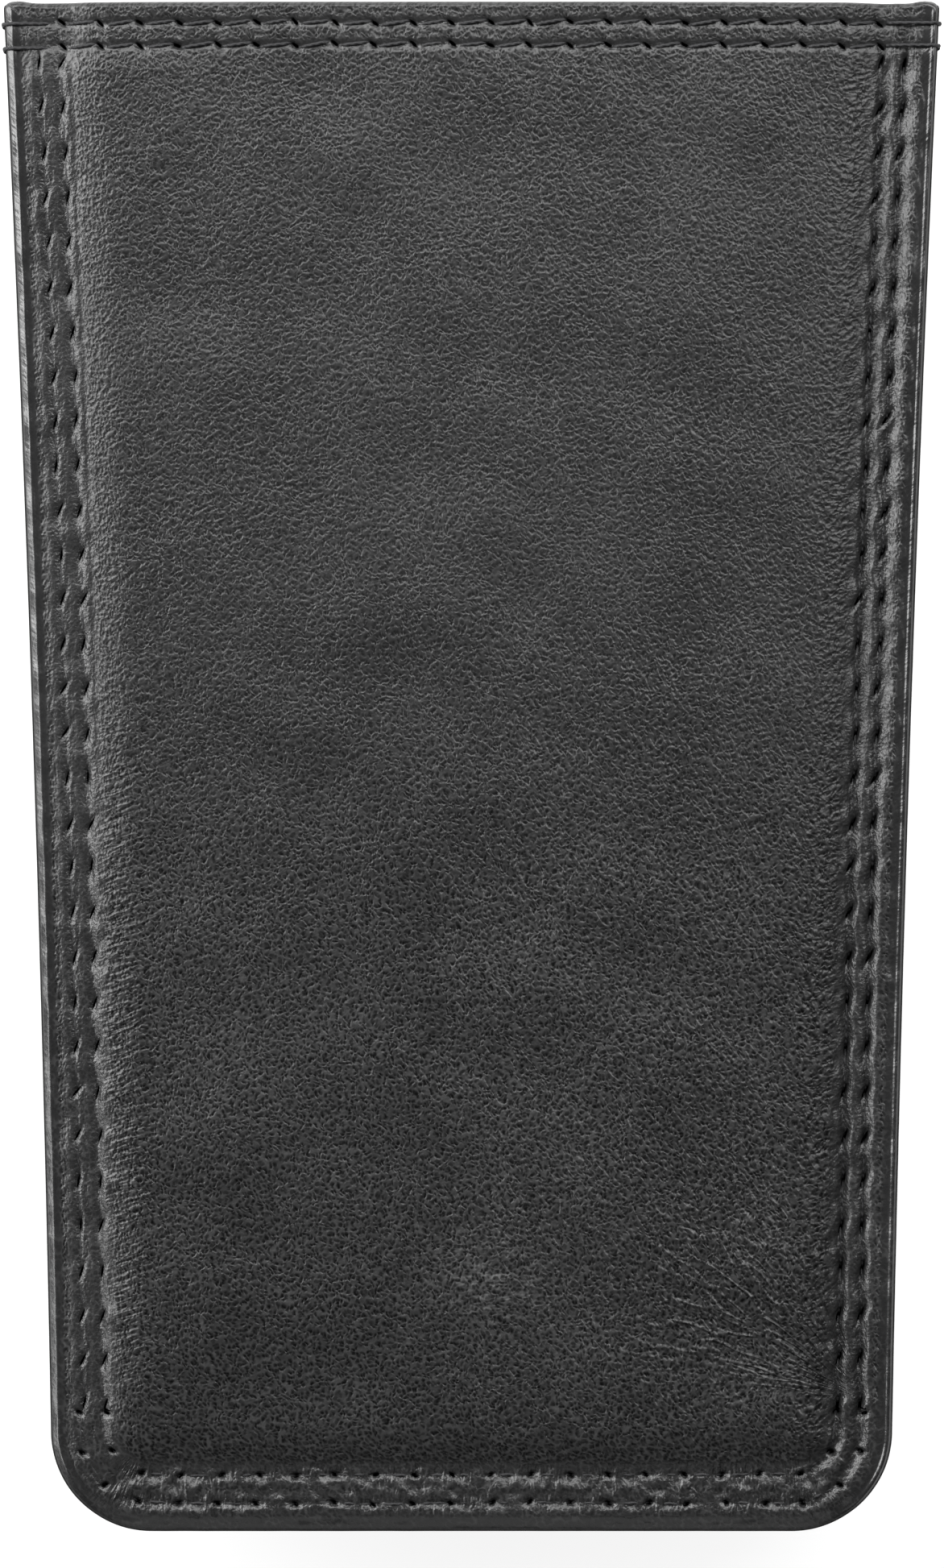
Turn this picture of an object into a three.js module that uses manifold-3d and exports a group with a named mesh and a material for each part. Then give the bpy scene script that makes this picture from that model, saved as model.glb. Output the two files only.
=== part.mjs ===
// Key case: a sewn leather sleeve, open at its wide end, with a key ring on a riveted strap inside.
// Millimetres. The case lies on its back on Z = 0, +Z is its front face and +Y points to the mouth.
import * as THREE from "three";
import { mergeVertices } from "three/addons/utils/BufferGeometryUtils.js";
import Module from "manifold-3d";

const wasm = await Module();
wasm.setup();

// Driving dimensions of the outline
const LENGTH = 107.7;
const MOUTH_WIDTH = 66;
const BASE_WIDTH = 59.3;
const CORNER_RADIUS = 7.1;
const LATE_FLARE = 0.42; // share of the widening that grows with the square of the height

// Thicknesses of the layers, and the glue line between two of them
const LEATHER = 1.2;
const PADDING = 0.8;
const LINING = 0.4;
const GLUE = 0.05;

// The sewn margin, the swell of the front and the flat of the back
const SEAM_WIDTH = 4.6;
const BACK_DEPTH = 6.55; // height of the sewn margin over the table
const BACK_SHOULDER = 6;
const FRONT_SHOULDER = { rise: 0.8, run: 3 }; // the quick rise of the front beside the margin
const FRONT_SWELL = 1; // height of the front over that shoulder
const PADDING_TAPER = 1.5; // swell of the front from which the padding is at its full thickness
const PADDING_INSET = 8; // least distance of the padding from the edge
const SWELL_RUN = 34; // distance from the closed end over which the front swells
const SWELL_ACROSS = 2; // exponents: higher is flatter, with a steeper side
const SWELL_ALONG = 2.6;
const MOUTH_EASE = 0.12; // share of the swell lost towards the mouth
const MOUTH_EASE_RUN = 38;
const EDGE_ROUND_WIDTH = 1.25;
const EDGE_ROUND_DROP = 1;

// The folded mouth
const LIP = 0.6;
const FOLD = 1.2;
const HEM = 8;
const HEM_GAP = 0.3;

// Sewing
const THREAD_RADIUS = 0.22;
const GROOVE_RADIUS = 0.5;
const THREAD_SIDES = 4;
const SIDE_ROWS = { outer: 2.4, inner: 3.9 }; // distances of the rows from the edge
const BASE_ROWS = { outer: 2, inner: 4 };
const MOUTH_ROWS = { upper: 1.5, lower: 3.1 };
const SIDE_PITCH = 3.1; // lengths of a stitch
const BASE_PITCH = 2.8;
const MOUTH_PITCH = 2.7;
const STITCH_WAVE = 0.12; // how far a stitch rises between its needle holes, and dips at them
const FRONT_SINK = 0.05; // depth of a thread's middle under the leather
const BACK_SINK = 0.2;
const SIDE_ROW_TOP = 4.3; // distance of a side row's ends from the mouth and from the closed end
const SIDE_ROW_END = 9;
const BASE_ROW_GAP = 0.7;
const WRAP_PROUD = 0.1; // how far a mouth row stands off the edge that it wraps

// The key strap, its rivet and the ring
const RIVET_TO_END = 17.7;
const RIVET_POST_RADIUS = 1.3;
const RIVET_HEAD_RADIUS = 3.5;
const RIVET_BASE = 0.5;
const RIVET_CAP = 1.45;
const CAP_RIM = 0.45; // share of the cap's height that its rim takes
const CAP_SHOULDER = { radius: 0.75, height: 0.85 }; // shares of the cap's radius and height
const RUNNING_GAP = 0.35;
const STRAP_WIDTH = 9;
const STRAP_LAYER = 0.8;
const STRAP_SLIT = 0.3;
const STRAP_TAIL = 5;
const STRAP_LIFT = 0.1;
const RING_TO_MOUTH = 26; // distance of the ring's centre from the mouth
const RING_RADIUS = 10.5; // to the middle of the wire
const RING_WIRE = [1.8, 0.8]; // across and along the ring's axis
const RING_TURN_PITCH = 1.25;
const RING_END_ANGLE = 0.45;
const RING_STEP_ANGLE = 0.35;

// How finely the pieces are divided
const ROUND_STEPS = 20;
const EYE_STEPS = 8;
const RING_STEPS = 52;
const ROW_STEPS = 7;
const CORNER_STEPS = 4;
const BASE_STEPS = 8;
const RING_INSETS = [0, 0.35, EDGE_ROUND_WIDTH, SEAM_WIDTH, 5.6, 7, 9, 12];
const INNER_INSETS = RING_INSETS.filter((inset) => inset >= EDGE_ROUND_WIDTH); // inside the painted edge
const PADDING_INSETS = RING_INSETS.filter((inset) => inset > PADDING_INSET);
const LEAST_CORNER = 2.5;

// Levels and places that follow from these
const MOUTH_Y = LENGTH / 2;
const BASE_Y = -LENGTH / 2;
const CORNER_Y = BASE_Y + CORNER_RADIUS;
const FLANGE_TOP = BACK_DEPTH + 2 * (LEATHER + LINING) + 3 * GLUE;
const FLANGE_MIDDLE = (BACK_DEPTH + FLANGE_TOP) / 2;
const FLOOR_Z = LEATHER + PADDING + LINING + 2 * GLUE; // inside of the back lining
const HEM_Y = MOUTH_Y - HEM;
const LINING_Y = HEM_Y - HEM_GAP;
const RIVET_Y = BASE_Y + RIVET_TO_END;
const RING_Y = MOUTH_Y - RING_TO_MOUTH;
const STRAP_Z = FLOOR_Z + STRAP_LIFT;
const RING_HEIGHT = RING_TURN_PITCH + RING_WIRE[1];
const EYE_HEIGHT = RING_HEIGHT + 2 * RUNNING_GAP;
const RING_Z = STRAP_Z + STRAP_LAYER + EYE_HEIGHT / 2;

// Materials
const material = (color, roughness, metalness = 0) =>
  new THREE.MeshStandardMaterial({ color, roughness, metalness });
const BLACK_LEATHER = material(0x2b2b2b, 0.5);
const BLACK_LINING = material(0x1d1d1d, 0.9);
const GREY_PADDING = material(0x55534e, 0.95);
const BLACK_THREAD = material(0x141414, 0.7);
const STEEL = material(0xb9bbbd, 0.25, 1);

// Solids and booleans

function toSolid(geometry) {
  const bare = geometry.index ? geometry.toNonIndexed() : geometry.clone();
  bare.deleteAttribute("normal");
  bare.deleteAttribute("uv");
  const merged = mergeVertices(bare, 1e-4);
  return new wasm.Manifold(
    new wasm.Mesh({
      numProp: 3,
      vertProperties: merged.attributes.position.array,
      triVerts: new Uint32Array(merged.index.array),
    }),
  );
}

function toGeometry(solid) {
  const mesh = solid.getMesh();
  const geometry = new THREE.BufferGeometry();
  geometry.setAttribute("position", new THREE.BufferAttribute(mesh.vertProperties, 3));
  geometry.setIndex(new THREE.BufferAttribute(mesh.triVerts, 1));
  geometry.computeVertexNormals();
  return geometry;
}

function cut(geometry, cutters) {
  return toGeometry(cutters.reduce((solid, cutter) => solid.subtract(toSolid(cutter)), toSolid(geometry)));
}

function join(geometries) {
  return toGeometry(geometries.map(toSolid).reduce((all, solid) => all.add(solid)));
}

function indexed(points, triangles) {
  const geometry = new THREE.BufferGeometry().setFromPoints(points);
  geometry.setIndex(triangles.flat());
  return geometry;
}

// The case's form: where the outline runs, and how high each face of each layer lies

const clamp01 = (value) => THREE.MathUtils.clamp(value, 0, 1);
const smooth = (value) => THREE.MathUtils.smoothstep(value, 0, 1);

function halfWidth(y) {
  const height = clamp01((y - CORNER_Y) / (MOUTH_Y - CORNER_Y));
  const widening = (1 - LATE_FLARE) * height + LATE_FLARE * height * height;
  return THREE.MathUtils.lerp(BASE_WIDTH, MOUTH_WIDTH, widening) / 2;
}

function edgeDistance(x, y) {
  const side = halfWidth(y) - Math.abs(x);
  const end = y - BASE_Y;
  if (side < CORNER_RADIUS && end < CORNER_RADIUS) {
    return CORNER_RADIUS - Math.hypot(CORNER_RADIUS - side, CORNER_RADIUS - end);
  }
  return Math.min(side, end);
}

// How far the outer face falls away at the rounded edge and at the lip of the mouth
function edgeDrop(x, y) {
  const distance = Math.min(edgeDistance(x, y) / EDGE_ROUND_WIDTH, (MOUTH_Y - y) / LIP);
  const inward = clamp01(distance);
  return EDGE_ROUND_DROP * (1 - Math.sqrt(1 - (1 - inward) ** 2));
}

function swell(x, y) {
  const inward = clamp01((edgeDistance(x, y) - SEAM_WIDTH) / FRONT_SHOULDER.run);
  const shoulder = FRONT_SHOULDER.rise * (1 - (1 - inward) ** 2);
  const across = clamp01(Math.abs(x) / (halfWidth(y) - SEAM_WIDTH));
  const along = clamp01((y - BASE_Y - SEAM_WIDTH) / SWELL_RUN);
  const ease = 1 - MOUTH_EASE * smooth((y - MOUTH_Y) / MOUTH_EASE_RUN + 1);
  return shoulder + FRONT_SWELL * (1 - across ** SWELL_ACROSS) * (1 - (1 - along) ** SWELL_ALONG) * ease;
}

function plateau(x, y) {
  return smooth((edgeDistance(x, y) - SEAM_WIDTH) / BACK_SHOULDER);
}

// Room for the padding between leather and lining, none in the sewn margin
function paddingRoom(x, y) {
  return GLUE + (PADDING + GLUE) * smooth(swell(x, y) / PADDING_TAPER);
}

const atEdge = (x, y) => edgeDistance(x, y) < EDGE_ROUND_WIDTH - GLUE;

const front = {
  outer: (x, y) => FLANGE_TOP + swell(x, y) - edgeDrop(x, y),
  under: (x, y) => (atEdge(x, y) ? FLANGE_MIDDLE + GLUE : FLANGE_TOP + swell(x, y) - LEATHER),
  lining: (x, y) => FLANGE_TOP + swell(x, y) - LEATHER - paddingRoom(x, y),
  inside: (x, y) => front.lining(x, y) - LINING,
};

const back = {
  outer: (x, y) => BACK_DEPTH * (1 - plateau(x, y)) + edgeDrop(x, y),
  under: (x, y) => (atEdge(x, y) ? FLANGE_MIDDLE - GLUE : BACK_DEPTH * (1 - plateau(x, y)) + LEATHER),
  lining: (x, y) => BACK_DEPTH * (1 - plateau(x, y)) + LEATHER + paddingRoom(x, y),
  inside: (x, y) => back.lining(x, y) + LINING,
};

const shifted = (height, shift) => (x, y) => height(x, y) + shift;

// Sheets: every layer is divided along the same rows and rings, so that neighbours stay parallel

const ROWS = [MOUTH_Y, MOUTH_Y - LIP, MOUTH_Y - FOLD, MOUTH_Y - FOLD - HEM_GAP, HEM_Y, LINING_Y];
const ROW_END = BASE_Y + RING_INSETS.at(-1) + LEAST_CORNER;
for (let step = 1; step <= ROW_STEPS; step++) {
  ROWS.push(THREE.MathUtils.lerp(LINING_Y, ROW_END, step / ROW_STEPS));
}

// Half of a U-shaped ring, from the mouth down to the middle of the closed end
function halfRing(inset, rows) {
  const radius = Math.max(CORNER_RADIUS - inset, LEAST_CORNER);
  const cornerY = BASE_Y + inset + radius;
  const points = rows.map((y) => new THREE.Vector2(inset - halfWidth(y), y));
  const cornerX = halfWidth(cornerY) - inset - radius;
  for (let step = 0; step <= CORNER_STEPS; step++) {
    const angle = (Math.PI / 2) * (step / CORNER_STEPS);
    points.push(new THREE.Vector2(-cornerX - radius * Math.cos(angle), cornerY - radius * Math.sin(angle)));
  }
  for (let step = 1; step <= BASE_STEPS / 2; step++) {
    points.push(new THREE.Vector2(-cornerX * (1 - (2 * step) / BASE_STEPS), BASE_Y + inset));
  }
  return points;
}

const mirrored = (points) => points.map((point) => new THREE.Vector2(-point.x, point.y)).reverse();

// A flat division of the U from its outermost ring inwards: points, triangles and the edge all round
function division(insets, top) {
  const rows = ROWS.filter((y) => y <= top);
  const rings = insets.map((inset) => {
    const half = halfRing(inset, rows);
    return half.concat(mirrored(half).slice(1));
  });
  const count = rings[0].length;
  const points = rings.flat();
  const triangles = [];
  const quad = (a, b, c, d) => triangles.push([a, b, c], [a, c, d]);
  for (let ring = 0; ring + 1 < rings.length; ring++) {
    for (let step = 0; step + 1 < count; step++) {
      const outer = ring * count + step;
      quad(outer, outer + 1, outer + count + 1, outer + count);
    }
  }
  const inner = (rings.length - 1) * count;
  const sideSteps = rows.length + CORNER_STEPS / 2;
  const columns = count - 1 - 2 * sideSteps;
  const grid = [];
  for (let row = 0; row < sideSteps; row++) {
    const left = points[inner + row];
    const line = [inner + row];
    for (let column = 1; column < columns; column++) {
      points.push(new THREE.Vector2(left.x * (1 - (2 * column) / columns), left.y));
      line.push(points.length - 1);
    }
    grid.push([...line, inner + count - 1 - row]);
  }
  grid.push(Array.from({ length: columns + 1 }, (_, column) => inner + sideSteps + column));
  for (let row = 0; row < sideSteps; row++) {
    for (let column = 0; column < columns; column++) {
      quad(grid[row][column], grid[row + 1][column], grid[row + 1][column + 1], grid[row][column + 1]);
    }
  }
  const around = Array.from({ length: count }, (_, step) => step);
  const mouthRight = insets.slice(1).map((_, ring) => (ring + 2) * count - 1);
  const mouthLeft = insets.slice(1).map((_, ring) => (ring + 1) * count);
  const edge = [...around, ...mouthRight, ...grid[0].slice(1, -1).reverse(), ...mouthLeft.reverse()];
  return { points, triangles, edge };
}

// A band across the case between two rows, for what lies in the folded mouth
function band(insets, from, to) {
  const rows = ROWS.filter((y) => y <= from && y >= to);
  const whole = division(RING_INSETS, MOUTH_Y);
  const columnsAt = (y) => {
    const sides = insets.map((inset) => inset - halfWidth(y));
    const inner = -sides.at(-1);
    const middle = whole.points.filter((point) => point.y === y && Math.abs(point.x) < inner - GLUE);
    const between = [...new Set(middle.map((point) => point.x))].sort((a, b) => a - b);
    return [...sides, ...between, ...sides.map((x) => -x).reverse()];
  };
  const grid = rows.map(columnsAt);
  const width = grid[0].length;
  const points = grid.flatMap((line, row) => line.map((x) => new THREE.Vector2(x, rows[row])));
  const triangles = [];
  for (let row = 0; row + 1 < rows.length; row++) {
    for (let column = 0; column + 1 < width; column++) {
      const corner = row * width + column;
      triangles.push([corner, corner + width, corner + width + 1], [corner, corner + width + 1, corner + 1]);
    }
  }
  const last = rows.length - 1;
  const edge = [];
  for (let row = 0; row < last; row++) {
    edge.push(row * width);
  }
  for (let column = 0; column < width - 1; column++) {
    edge.push(last * width + column);
  }
  for (let row = last; row > 0; row--) {
    edge.push(row * width + width - 1);
  }
  for (let column = width - 1; column > 0; column--) {
    edge.push(column);
  }
  return { points, triangles, edge };
}

// A closed sheet over a flat division, between two heights
function sheet({ points, triangles, edge }, top, bottom) {
  const count = points.length;
  const lifted = [top, bottom].flatMap((height) =>
    points.map((point) => new THREE.Vector3(point.x, point.y, height(point.x, point.y))),
  );
  const faces = triangles.flatMap(([a, b, c]) => [
    [a, b, c],
    [a + count, c + count, b + count],
  ]);
  edge.forEach((a, step) => {
    const b = edge[(step + 1) % edge.length];
    faces.push([b, a, a + count], [b, a + count, b + count]);
  });
  return indexed(lifted, faces);
}

// Leather with its mouth edge folded in and turned down over the lining
function foldedPanel(face, upwards) {
  const sense = upwards ? 1 : -1;
  const between = (flat, one, other) => (upwards ? sheet(flat, one, other) : sheet(flat, other, one));
  const main = between(division(RING_INSETS, MOUTH_Y), face.outer, face.under);
  const bite = (LEATHER / 4) * sense;
  const fold = between(band(INNER_INSETS, MOUTH_Y, MOUTH_Y - FOLD), shifted(face.under, bite), face.inside);
  const flap = between(band(INNER_INSETS, MOUTH_Y, HEM_Y), face.lining, face.inside);
  return join([main, fold, flap]);
}

function liningSheet(face, upwards) {
  const flat = division(INNER_INSETS, LINING_Y);
  return upwards ? sheet(flat, face.lining, face.inside) : sheet(flat, face.inside, face.lining);
}

function paddingSheet(face, upwards, flat) {
  const outward = shifted(face.under, upwards ? -GLUE : GLUE);
  const inward = shifted(face.lining, upwards ? GLUE : -GLUE);
  return upwards ? sheet(flat, outward, inward) : sheet(flat, inward, outward);
}

const paddingFlat = division(PADDING_INSETS, LINING_Y);
const tapeFlat = band(PADDING_INSETS, MOUTH_Y - FOLD - HEM_GAP, HEM_Y);

// Threads: a tube along a line that is nowhere parallel to the reference, with a flat face at both ends

const UPWARDS = new THREE.Vector3(0, 0, 1);
const TO_MOUTH = new THREE.Vector3(0, 1, 0);

function sweep(points, section, reference = UPWARDS) {
  const count = section.length;
  const rings = points.map((point, step) => {
    const before = points[Math.max(step - 1, 0)];
    const after = points[Math.min(step + 1, points.length - 1)];
    const along = after.clone().sub(before).normalize();
    const side = new THREE.Vector3().crossVectors(along, reference).normalize();
    const up = new THREE.Vector3().crossVectors(side, along);
    return section.map(({ x, y }) => point.clone().addScaledVector(side, x).addScaledVector(up, y));
  });
  const faces = [];
  for (let step = 0; step + 1 < points.length; step++) {
    for (let corner = 0; corner < count; corner++) {
      const a = step * count + corner;
      const b = step * count + ((corner + 1) % count);
      faces.push([a, b + count, b], [a, a + count, b + count]);
    }
  }
  const last = (points.length - 1) * count;
  for (let corner = 1; corner + 1 < count; corner++) {
    faces.push([0, corner, corner + 1], [last, last + corner + 1, last + corner]);
  }
  return indexed(rings.flat(), faces);
}

function polygon(radius, sides) {
  return Array.from({ length: sides }, (_, corner) => {
    const angle = (2 * Math.PI * (corner + 0.5)) / sides;
    return new THREE.Vector2(radius * Math.cos(angle), radius * Math.sin(angle));
  });
}

// The same line with a point at every needle hole and on every stitch between two holes.
// Where the line wraps the rounded edge, it stays as it is.
function stitched(points, pitch) {
  const onFlat = points.map(({ x, y }) => edgeDistance(x, y) > EDGE_ROUND_WIDTH - GLUE);
  const first = onFlat.indexOf(true);
  const last = onFlat.lastIndexOf(true);
  const line = new THREE.CurvePath();
  for (let step = first; step < last; step++) {
    line.add(new THREE.LineCurve3(points[step], points[step + 1]));
  }
  const steps = 2 * Math.round(line.getLength() / pitch);
  const waves = Array.from({ length: steps + 1 }, (_, step) => {
    const point = line.getPointAt(step / steps);
    point.z += step % 2 ? STITCH_WAVE : -STITCH_WAVE;
    return point;
  });
  return [...points.slice(0, first), ...waves, ...points.slice(last + 1)];
}

// Lines of the seams on one side of the case

const sides = {
  front: { face: front, sign: 1, sink: FRONT_SINK, thread: "needle" },
  back: { face: back, sign: -1, sink: BACK_SINK, thread: "bobbin" },
};

function onFace({ face, sign, sink }, x, y) {
  return new THREE.Vector3(x, y, face.outer(x, y) - sign * sink);
}

function sideRow(place, inset, hand) {
  const rows = [MOUTH_Y - SIDE_ROW_TOP, ...ROWS.filter((y) => y < LINING_Y), BASE_Y + SIDE_ROW_END];
  const inOrder = rows.filter((y) => y >= BASE_Y + SIDE_ROW_END).sort((a, b) => b - a);
  return inOrder.map((y) => onFace(place, hand * (halfWidth(y) - inset), y));
}

function baseRow(place, inset) {
  const half = halfRing(inset, [BASE_Y + SIDE_ROW_END - BASE_ROW_GAP]);
  return half.concat(mirrored(half).slice(1)).map((point) => onFace(place, point.x, point.y));
}

// A mouth row crosses the face from edge to edge and wraps both edges down to the middle of the margin
function mouthRow(place, fromMouth) {
  const y = MOUTH_Y - fromMouth;
  const edgeX = halfWidth(y) + WRAP_PROUD;
  const endZ = FLANGE_MIDDLE + place.sign * (THREAD_RADIUS + WRAP_PROUD);
  const columns = band(RING_INSETS, MOUTH_Y, MOUTH_Y - LIP).points.slice(1, -1);
  const top = columns.filter((point) => point.y === MOUTH_Y && Math.abs(point.x) < halfWidth(y) - GLUE);
  const across = top.map((point) => onFace(place, point.x, y));
  return [new THREE.Vector3(-edgeX, y, endZ), ...across, new THREE.Vector3(edgeX, y, endZ)];
}

// The bobbin thread of a mouth row lies inside the mouth, on the turned-in leather
function bobbinRow({ face, sign }, fromMouth) {
  const y = MOUTH_Y - fromMouth;
  const stand = sign * (THREAD_RADIUS + GLUE);
  const columns = band(PADDING_INSETS, MOUTH_Y, MOUTH_Y - LIP).points;
  const top = columns.filter((point) => point.y === MOUTH_Y);
  return top.map((point) => new THREE.Vector3(point.x, y, face.inside(point.x, y) - stand));
}

const threadSection = polygon(THREAD_RADIUS, THREAD_SIDES);
const grooveSection = polygon(GROOVE_RADIUS, THREAD_SIDES);
const threads = [];
const grooves = { front: [], back: [] };

// The rows that show on the front have their stitches. Those on the back run plainly in their grooves.
function sewInGroove(name, panel, line, pitch, reference) {
  const thread = panel === "front" ? stitched(line, pitch) : line;
  threads.push({ name, geometry: sweep(thread, threadSection, reference) });
  grooves[panel].push(sweep(line, grooveSection, reference));
}

for (const [panel, place] of Object.entries(sides)) {
  for (const row of ["outer", "inner"]) {
    const kind = `${row}_${place.thread}_thread`;
    sewInGroove(`left_${kind}`, panel, sideRow(place, SIDE_ROWS[row], -1), SIDE_PITCH);
    sewInGroove(`right_${kind}`, panel, sideRow(place, SIDE_ROWS[row], 1), SIDE_PITCH);
    sewInGroove(`base_${kind}`, panel, baseRow(place, BASE_ROWS[row]), BASE_PITCH);
  }
  for (const row of ["upper", "lower"]) {
    const outside = mouthRow(place, MOUTH_ROWS[row]);
    const inside = sweep(bobbinRow(place, MOUTH_ROWS[row]), threadSection);
    sewInGroove(`${panel}_mouth_${row}_needle_thread`, panel, outside, MOUTH_PITCH, TO_MOUTH);
    threads.push({ name: `${panel}_mouth_${row}_bobbin_thread`, geometry: inside });
  }
}

// The key strap: a strip folded round the ring, with both ends under the rivet

function strapGeometry() {
  const tail = RIVET_Y - STRAP_TAIL;
  const bottom = STRAP_Z;
  const eyeBottom = bottom + STRAP_LAYER;
  const slitTop = eyeBottom + STRAP_SLIT;
  const noseRadius = EYE_HEIGHT / 2;
  const wireLow = RING_Y - RING_RADIUS - RING_WIRE[0] / 2;
  const sagitta = RING_RADIUS - Math.sqrt(RING_RADIUS ** 2 - (STRAP_WIDTH / 2) ** 2);
  const noseY = wireLow + RING_WIRE[0] + sagitta + RUNNING_GAP - noseRadius / 2;
  const shoulderY = wireLow - RUNNING_GAP;
  const rampY = shoulderY - EYE_HEIGHT;
  const outline = new THREE.Shape();
  outline.moveTo(tail, bottom);
  outline.lineTo(noseY, bottom);
  outline.absarc(noseY, RING_Z, noseRadius + STRAP_LAYER, -Math.PI / 2, Math.PI / 2, false);
  outline.lineTo(shoulderY, RING_Z + noseRadius + STRAP_LAYER);
  outline.lineTo(rampY, slitTop + STRAP_LAYER);
  outline.lineTo(tail, slitTop + STRAP_LAYER);
  outline.lineTo(tail, slitTop);
  outline.lineTo(rampY, slitTop);
  outline.lineTo(shoulderY, RING_Z + noseRadius);
  outline.lineTo(noseY, RING_Z + noseRadius);
  outline.absarc(noseY, RING_Z, noseRadius, Math.PI / 2, -Math.PI / 2, true);
  outline.lineTo(tail, eyeBottom);
  const strip = new THREE.ExtrudeGeometry(outline, {
    depth: STRAP_WIDTH,
    bevelEnabled: false,
    curveSegments: EYE_STEPS,
  });
  const toCase = new THREE.Matrix4().makeBasis(
    new THREE.Vector3(0, 1, 0),
    new THREE.Vector3(0, 0, 1),
    new THREE.Vector3(1, 0, 0),
  );
  strip.applyMatrix4(toCase).translate(-STRAP_WIDTH / 2, 0, 0);
  return cut(strip, [rivetHole(RIVET_POST_RADIUS + RUNNING_GAP)]);
}

// An upright round cutter through everything at the rivet
function rivetHole(radius) {
  const height = 2 * (strapTop + RIVET_CAP); // past the strap, also below the table
  const cutter = new THREE.CylinderGeometry(radius, radius, height, ROUND_STEPS);
  return cutter.rotateX(Math.PI / 2).translate(0, RIVET_Y, 0);
}

// Turned pieces: a closed profile of radius and height, turned about the rivet's axis
function turned(profile) {
  const points = profile.map(([radius, z]) => new THREE.Vector2(radius, z));
  return new THREE.LatheGeometry(points, ROUND_STEPS).rotateX(Math.PI / 2).translate(0, RIVET_Y, 0);
}

const strapTop = STRAP_Z + 2 * STRAP_LAYER + STRAP_SLIT;
const rivetBaseZ = LEATHER + 3 * GLUE;
const rivetCapZ = strapTop + 3 * GLUE;
const rivetPostTop = rivetCapZ + RIVET_CAP / 2;

const rivetPost = turned([
  [0, rivetBaseZ],
  [RIVET_HEAD_RADIUS, rivetBaseZ],
  [RIVET_HEAD_RADIUS, rivetBaseZ + RIVET_BASE],
  [RIVET_POST_RADIUS, rivetBaseZ + RIVET_BASE],
  [RIVET_POST_RADIUS, rivetPostTop],
  [0, rivetPostTop],
]);

const rivetCap = turned([
  [0, rivetPostTop + RUNNING_GAP],
  [RIVET_POST_RADIUS + RUNNING_GAP, rivetPostTop + RUNNING_GAP],
  [RIVET_POST_RADIUS + RUNNING_GAP, rivetCapZ],
  [RIVET_HEAD_RADIUS, rivetCapZ],
  [RIVET_HEAD_RADIUS, rivetCapZ + RIVET_CAP * CAP_RIM],
  [RIVET_HEAD_RADIUS * CAP_SHOULDER.radius, rivetCapZ + RIVET_CAP * CAP_SHOULDER.height],
  [0, rivetCapZ + RIVET_CAP],
]);

// The split ring: flat wire wound twice round, stepping from one turn to the other
function ringGeometry() {
  const [across, thick] = RING_WIRE;
  const section = [
    new THREE.Vector2(-across / 2, -thick / 2),
    new THREE.Vector2(across / 2, -thick / 2),
    new THREE.Vector2(across / 2, thick / 2),
    new THREE.Vector2(-across / 2, thick / 2),
  ];
  const turn = 2 * Math.PI;
  const points = Array.from({ length: RING_STEPS + 1 }, (_, step) => {
    const angle = THREE.MathUtils.lerp(RING_END_ANGLE, 2 * turn - RING_END_ANGLE, step / RING_STEPS);
    const climb = smooth((angle - turn) / (2 * RING_STEP_ANGLE) + 0.5) - 0.5;
    const x = RING_RADIUS * Math.cos(angle);
    const y = RING_Y + RING_RADIUS * Math.sin(angle);
    return new THREE.Vector3(x, y, RING_Z + RING_TURN_PITCH * climb);
  });
  return sweep(points, section);
}

// The assembly

const keyCase = new THREE.Group();

function addPiece(name, geometry, finish, group = keyCase) {
  const mesh = new THREE.Mesh(geometry, finish);
  mesh.name = name;
  group.add(mesh);
}

addPiece("front_panel", cut(foldedPanel(front, true), grooves.front), BLACK_LEATHER);
addPiece("back_panel", cut(foldedPanel(back, false), grooves.back), BLACK_LEATHER);
addPiece("front_padding", paddingSheet(front, true, paddingFlat), GREY_PADDING);
addPiece(
  "back_stiffener",
  cut(paddingSheet(back, false, paddingFlat), [rivetHole(RIVET_HEAD_RADIUS + RUNNING_GAP)]),
  GREY_PADDING,
);
addPiece("front_lining", liningSheet(front, true), BLACK_LINING);
addPiece(
  "back_lining",
  cut(liningSheet(back, false), [rivetHole(RIVET_POST_RADIUS + RUNNING_GAP)]),
  BLACK_LINING,
);
addPiece("front_mouth_tape", paddingSheet(front, true, tapeFlat), GREY_PADDING);
addPiece("back_mouth_tape", paddingSheet(back, false, tapeFlat), GREY_PADDING);
for (const { name, geometry } of threads) {
  addPiece(name, geometry, BLACK_THREAD);
}

const keyHolder = new THREE.Group();
keyCase.add(keyHolder);
addPiece("rivet_post", rivetPost, STEEL, keyHolder);
addPiece("rivet_cap", rivetCap, STEEL, keyHolder);
addPiece("key_strap", strapGeometry(), BLACK_LEATHER, keyHolder);
addPiece("key_ring", ringGeometry(), STEEL, keyHolder);

export default keyCase;
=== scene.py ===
import math
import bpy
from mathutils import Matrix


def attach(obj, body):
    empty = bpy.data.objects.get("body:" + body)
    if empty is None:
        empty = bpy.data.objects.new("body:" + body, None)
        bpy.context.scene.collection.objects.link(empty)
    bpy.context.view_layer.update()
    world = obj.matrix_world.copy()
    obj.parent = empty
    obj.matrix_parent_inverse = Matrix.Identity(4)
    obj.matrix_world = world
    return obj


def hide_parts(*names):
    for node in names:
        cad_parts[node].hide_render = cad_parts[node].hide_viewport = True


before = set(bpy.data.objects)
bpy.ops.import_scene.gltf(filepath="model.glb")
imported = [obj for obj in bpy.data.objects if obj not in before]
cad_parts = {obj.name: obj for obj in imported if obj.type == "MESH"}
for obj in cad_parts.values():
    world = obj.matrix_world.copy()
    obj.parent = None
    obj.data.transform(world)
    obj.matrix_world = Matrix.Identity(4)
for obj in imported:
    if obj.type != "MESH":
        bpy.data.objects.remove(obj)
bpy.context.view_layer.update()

from types import SimpleNamespace

import bpy
import numpy as np

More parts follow.
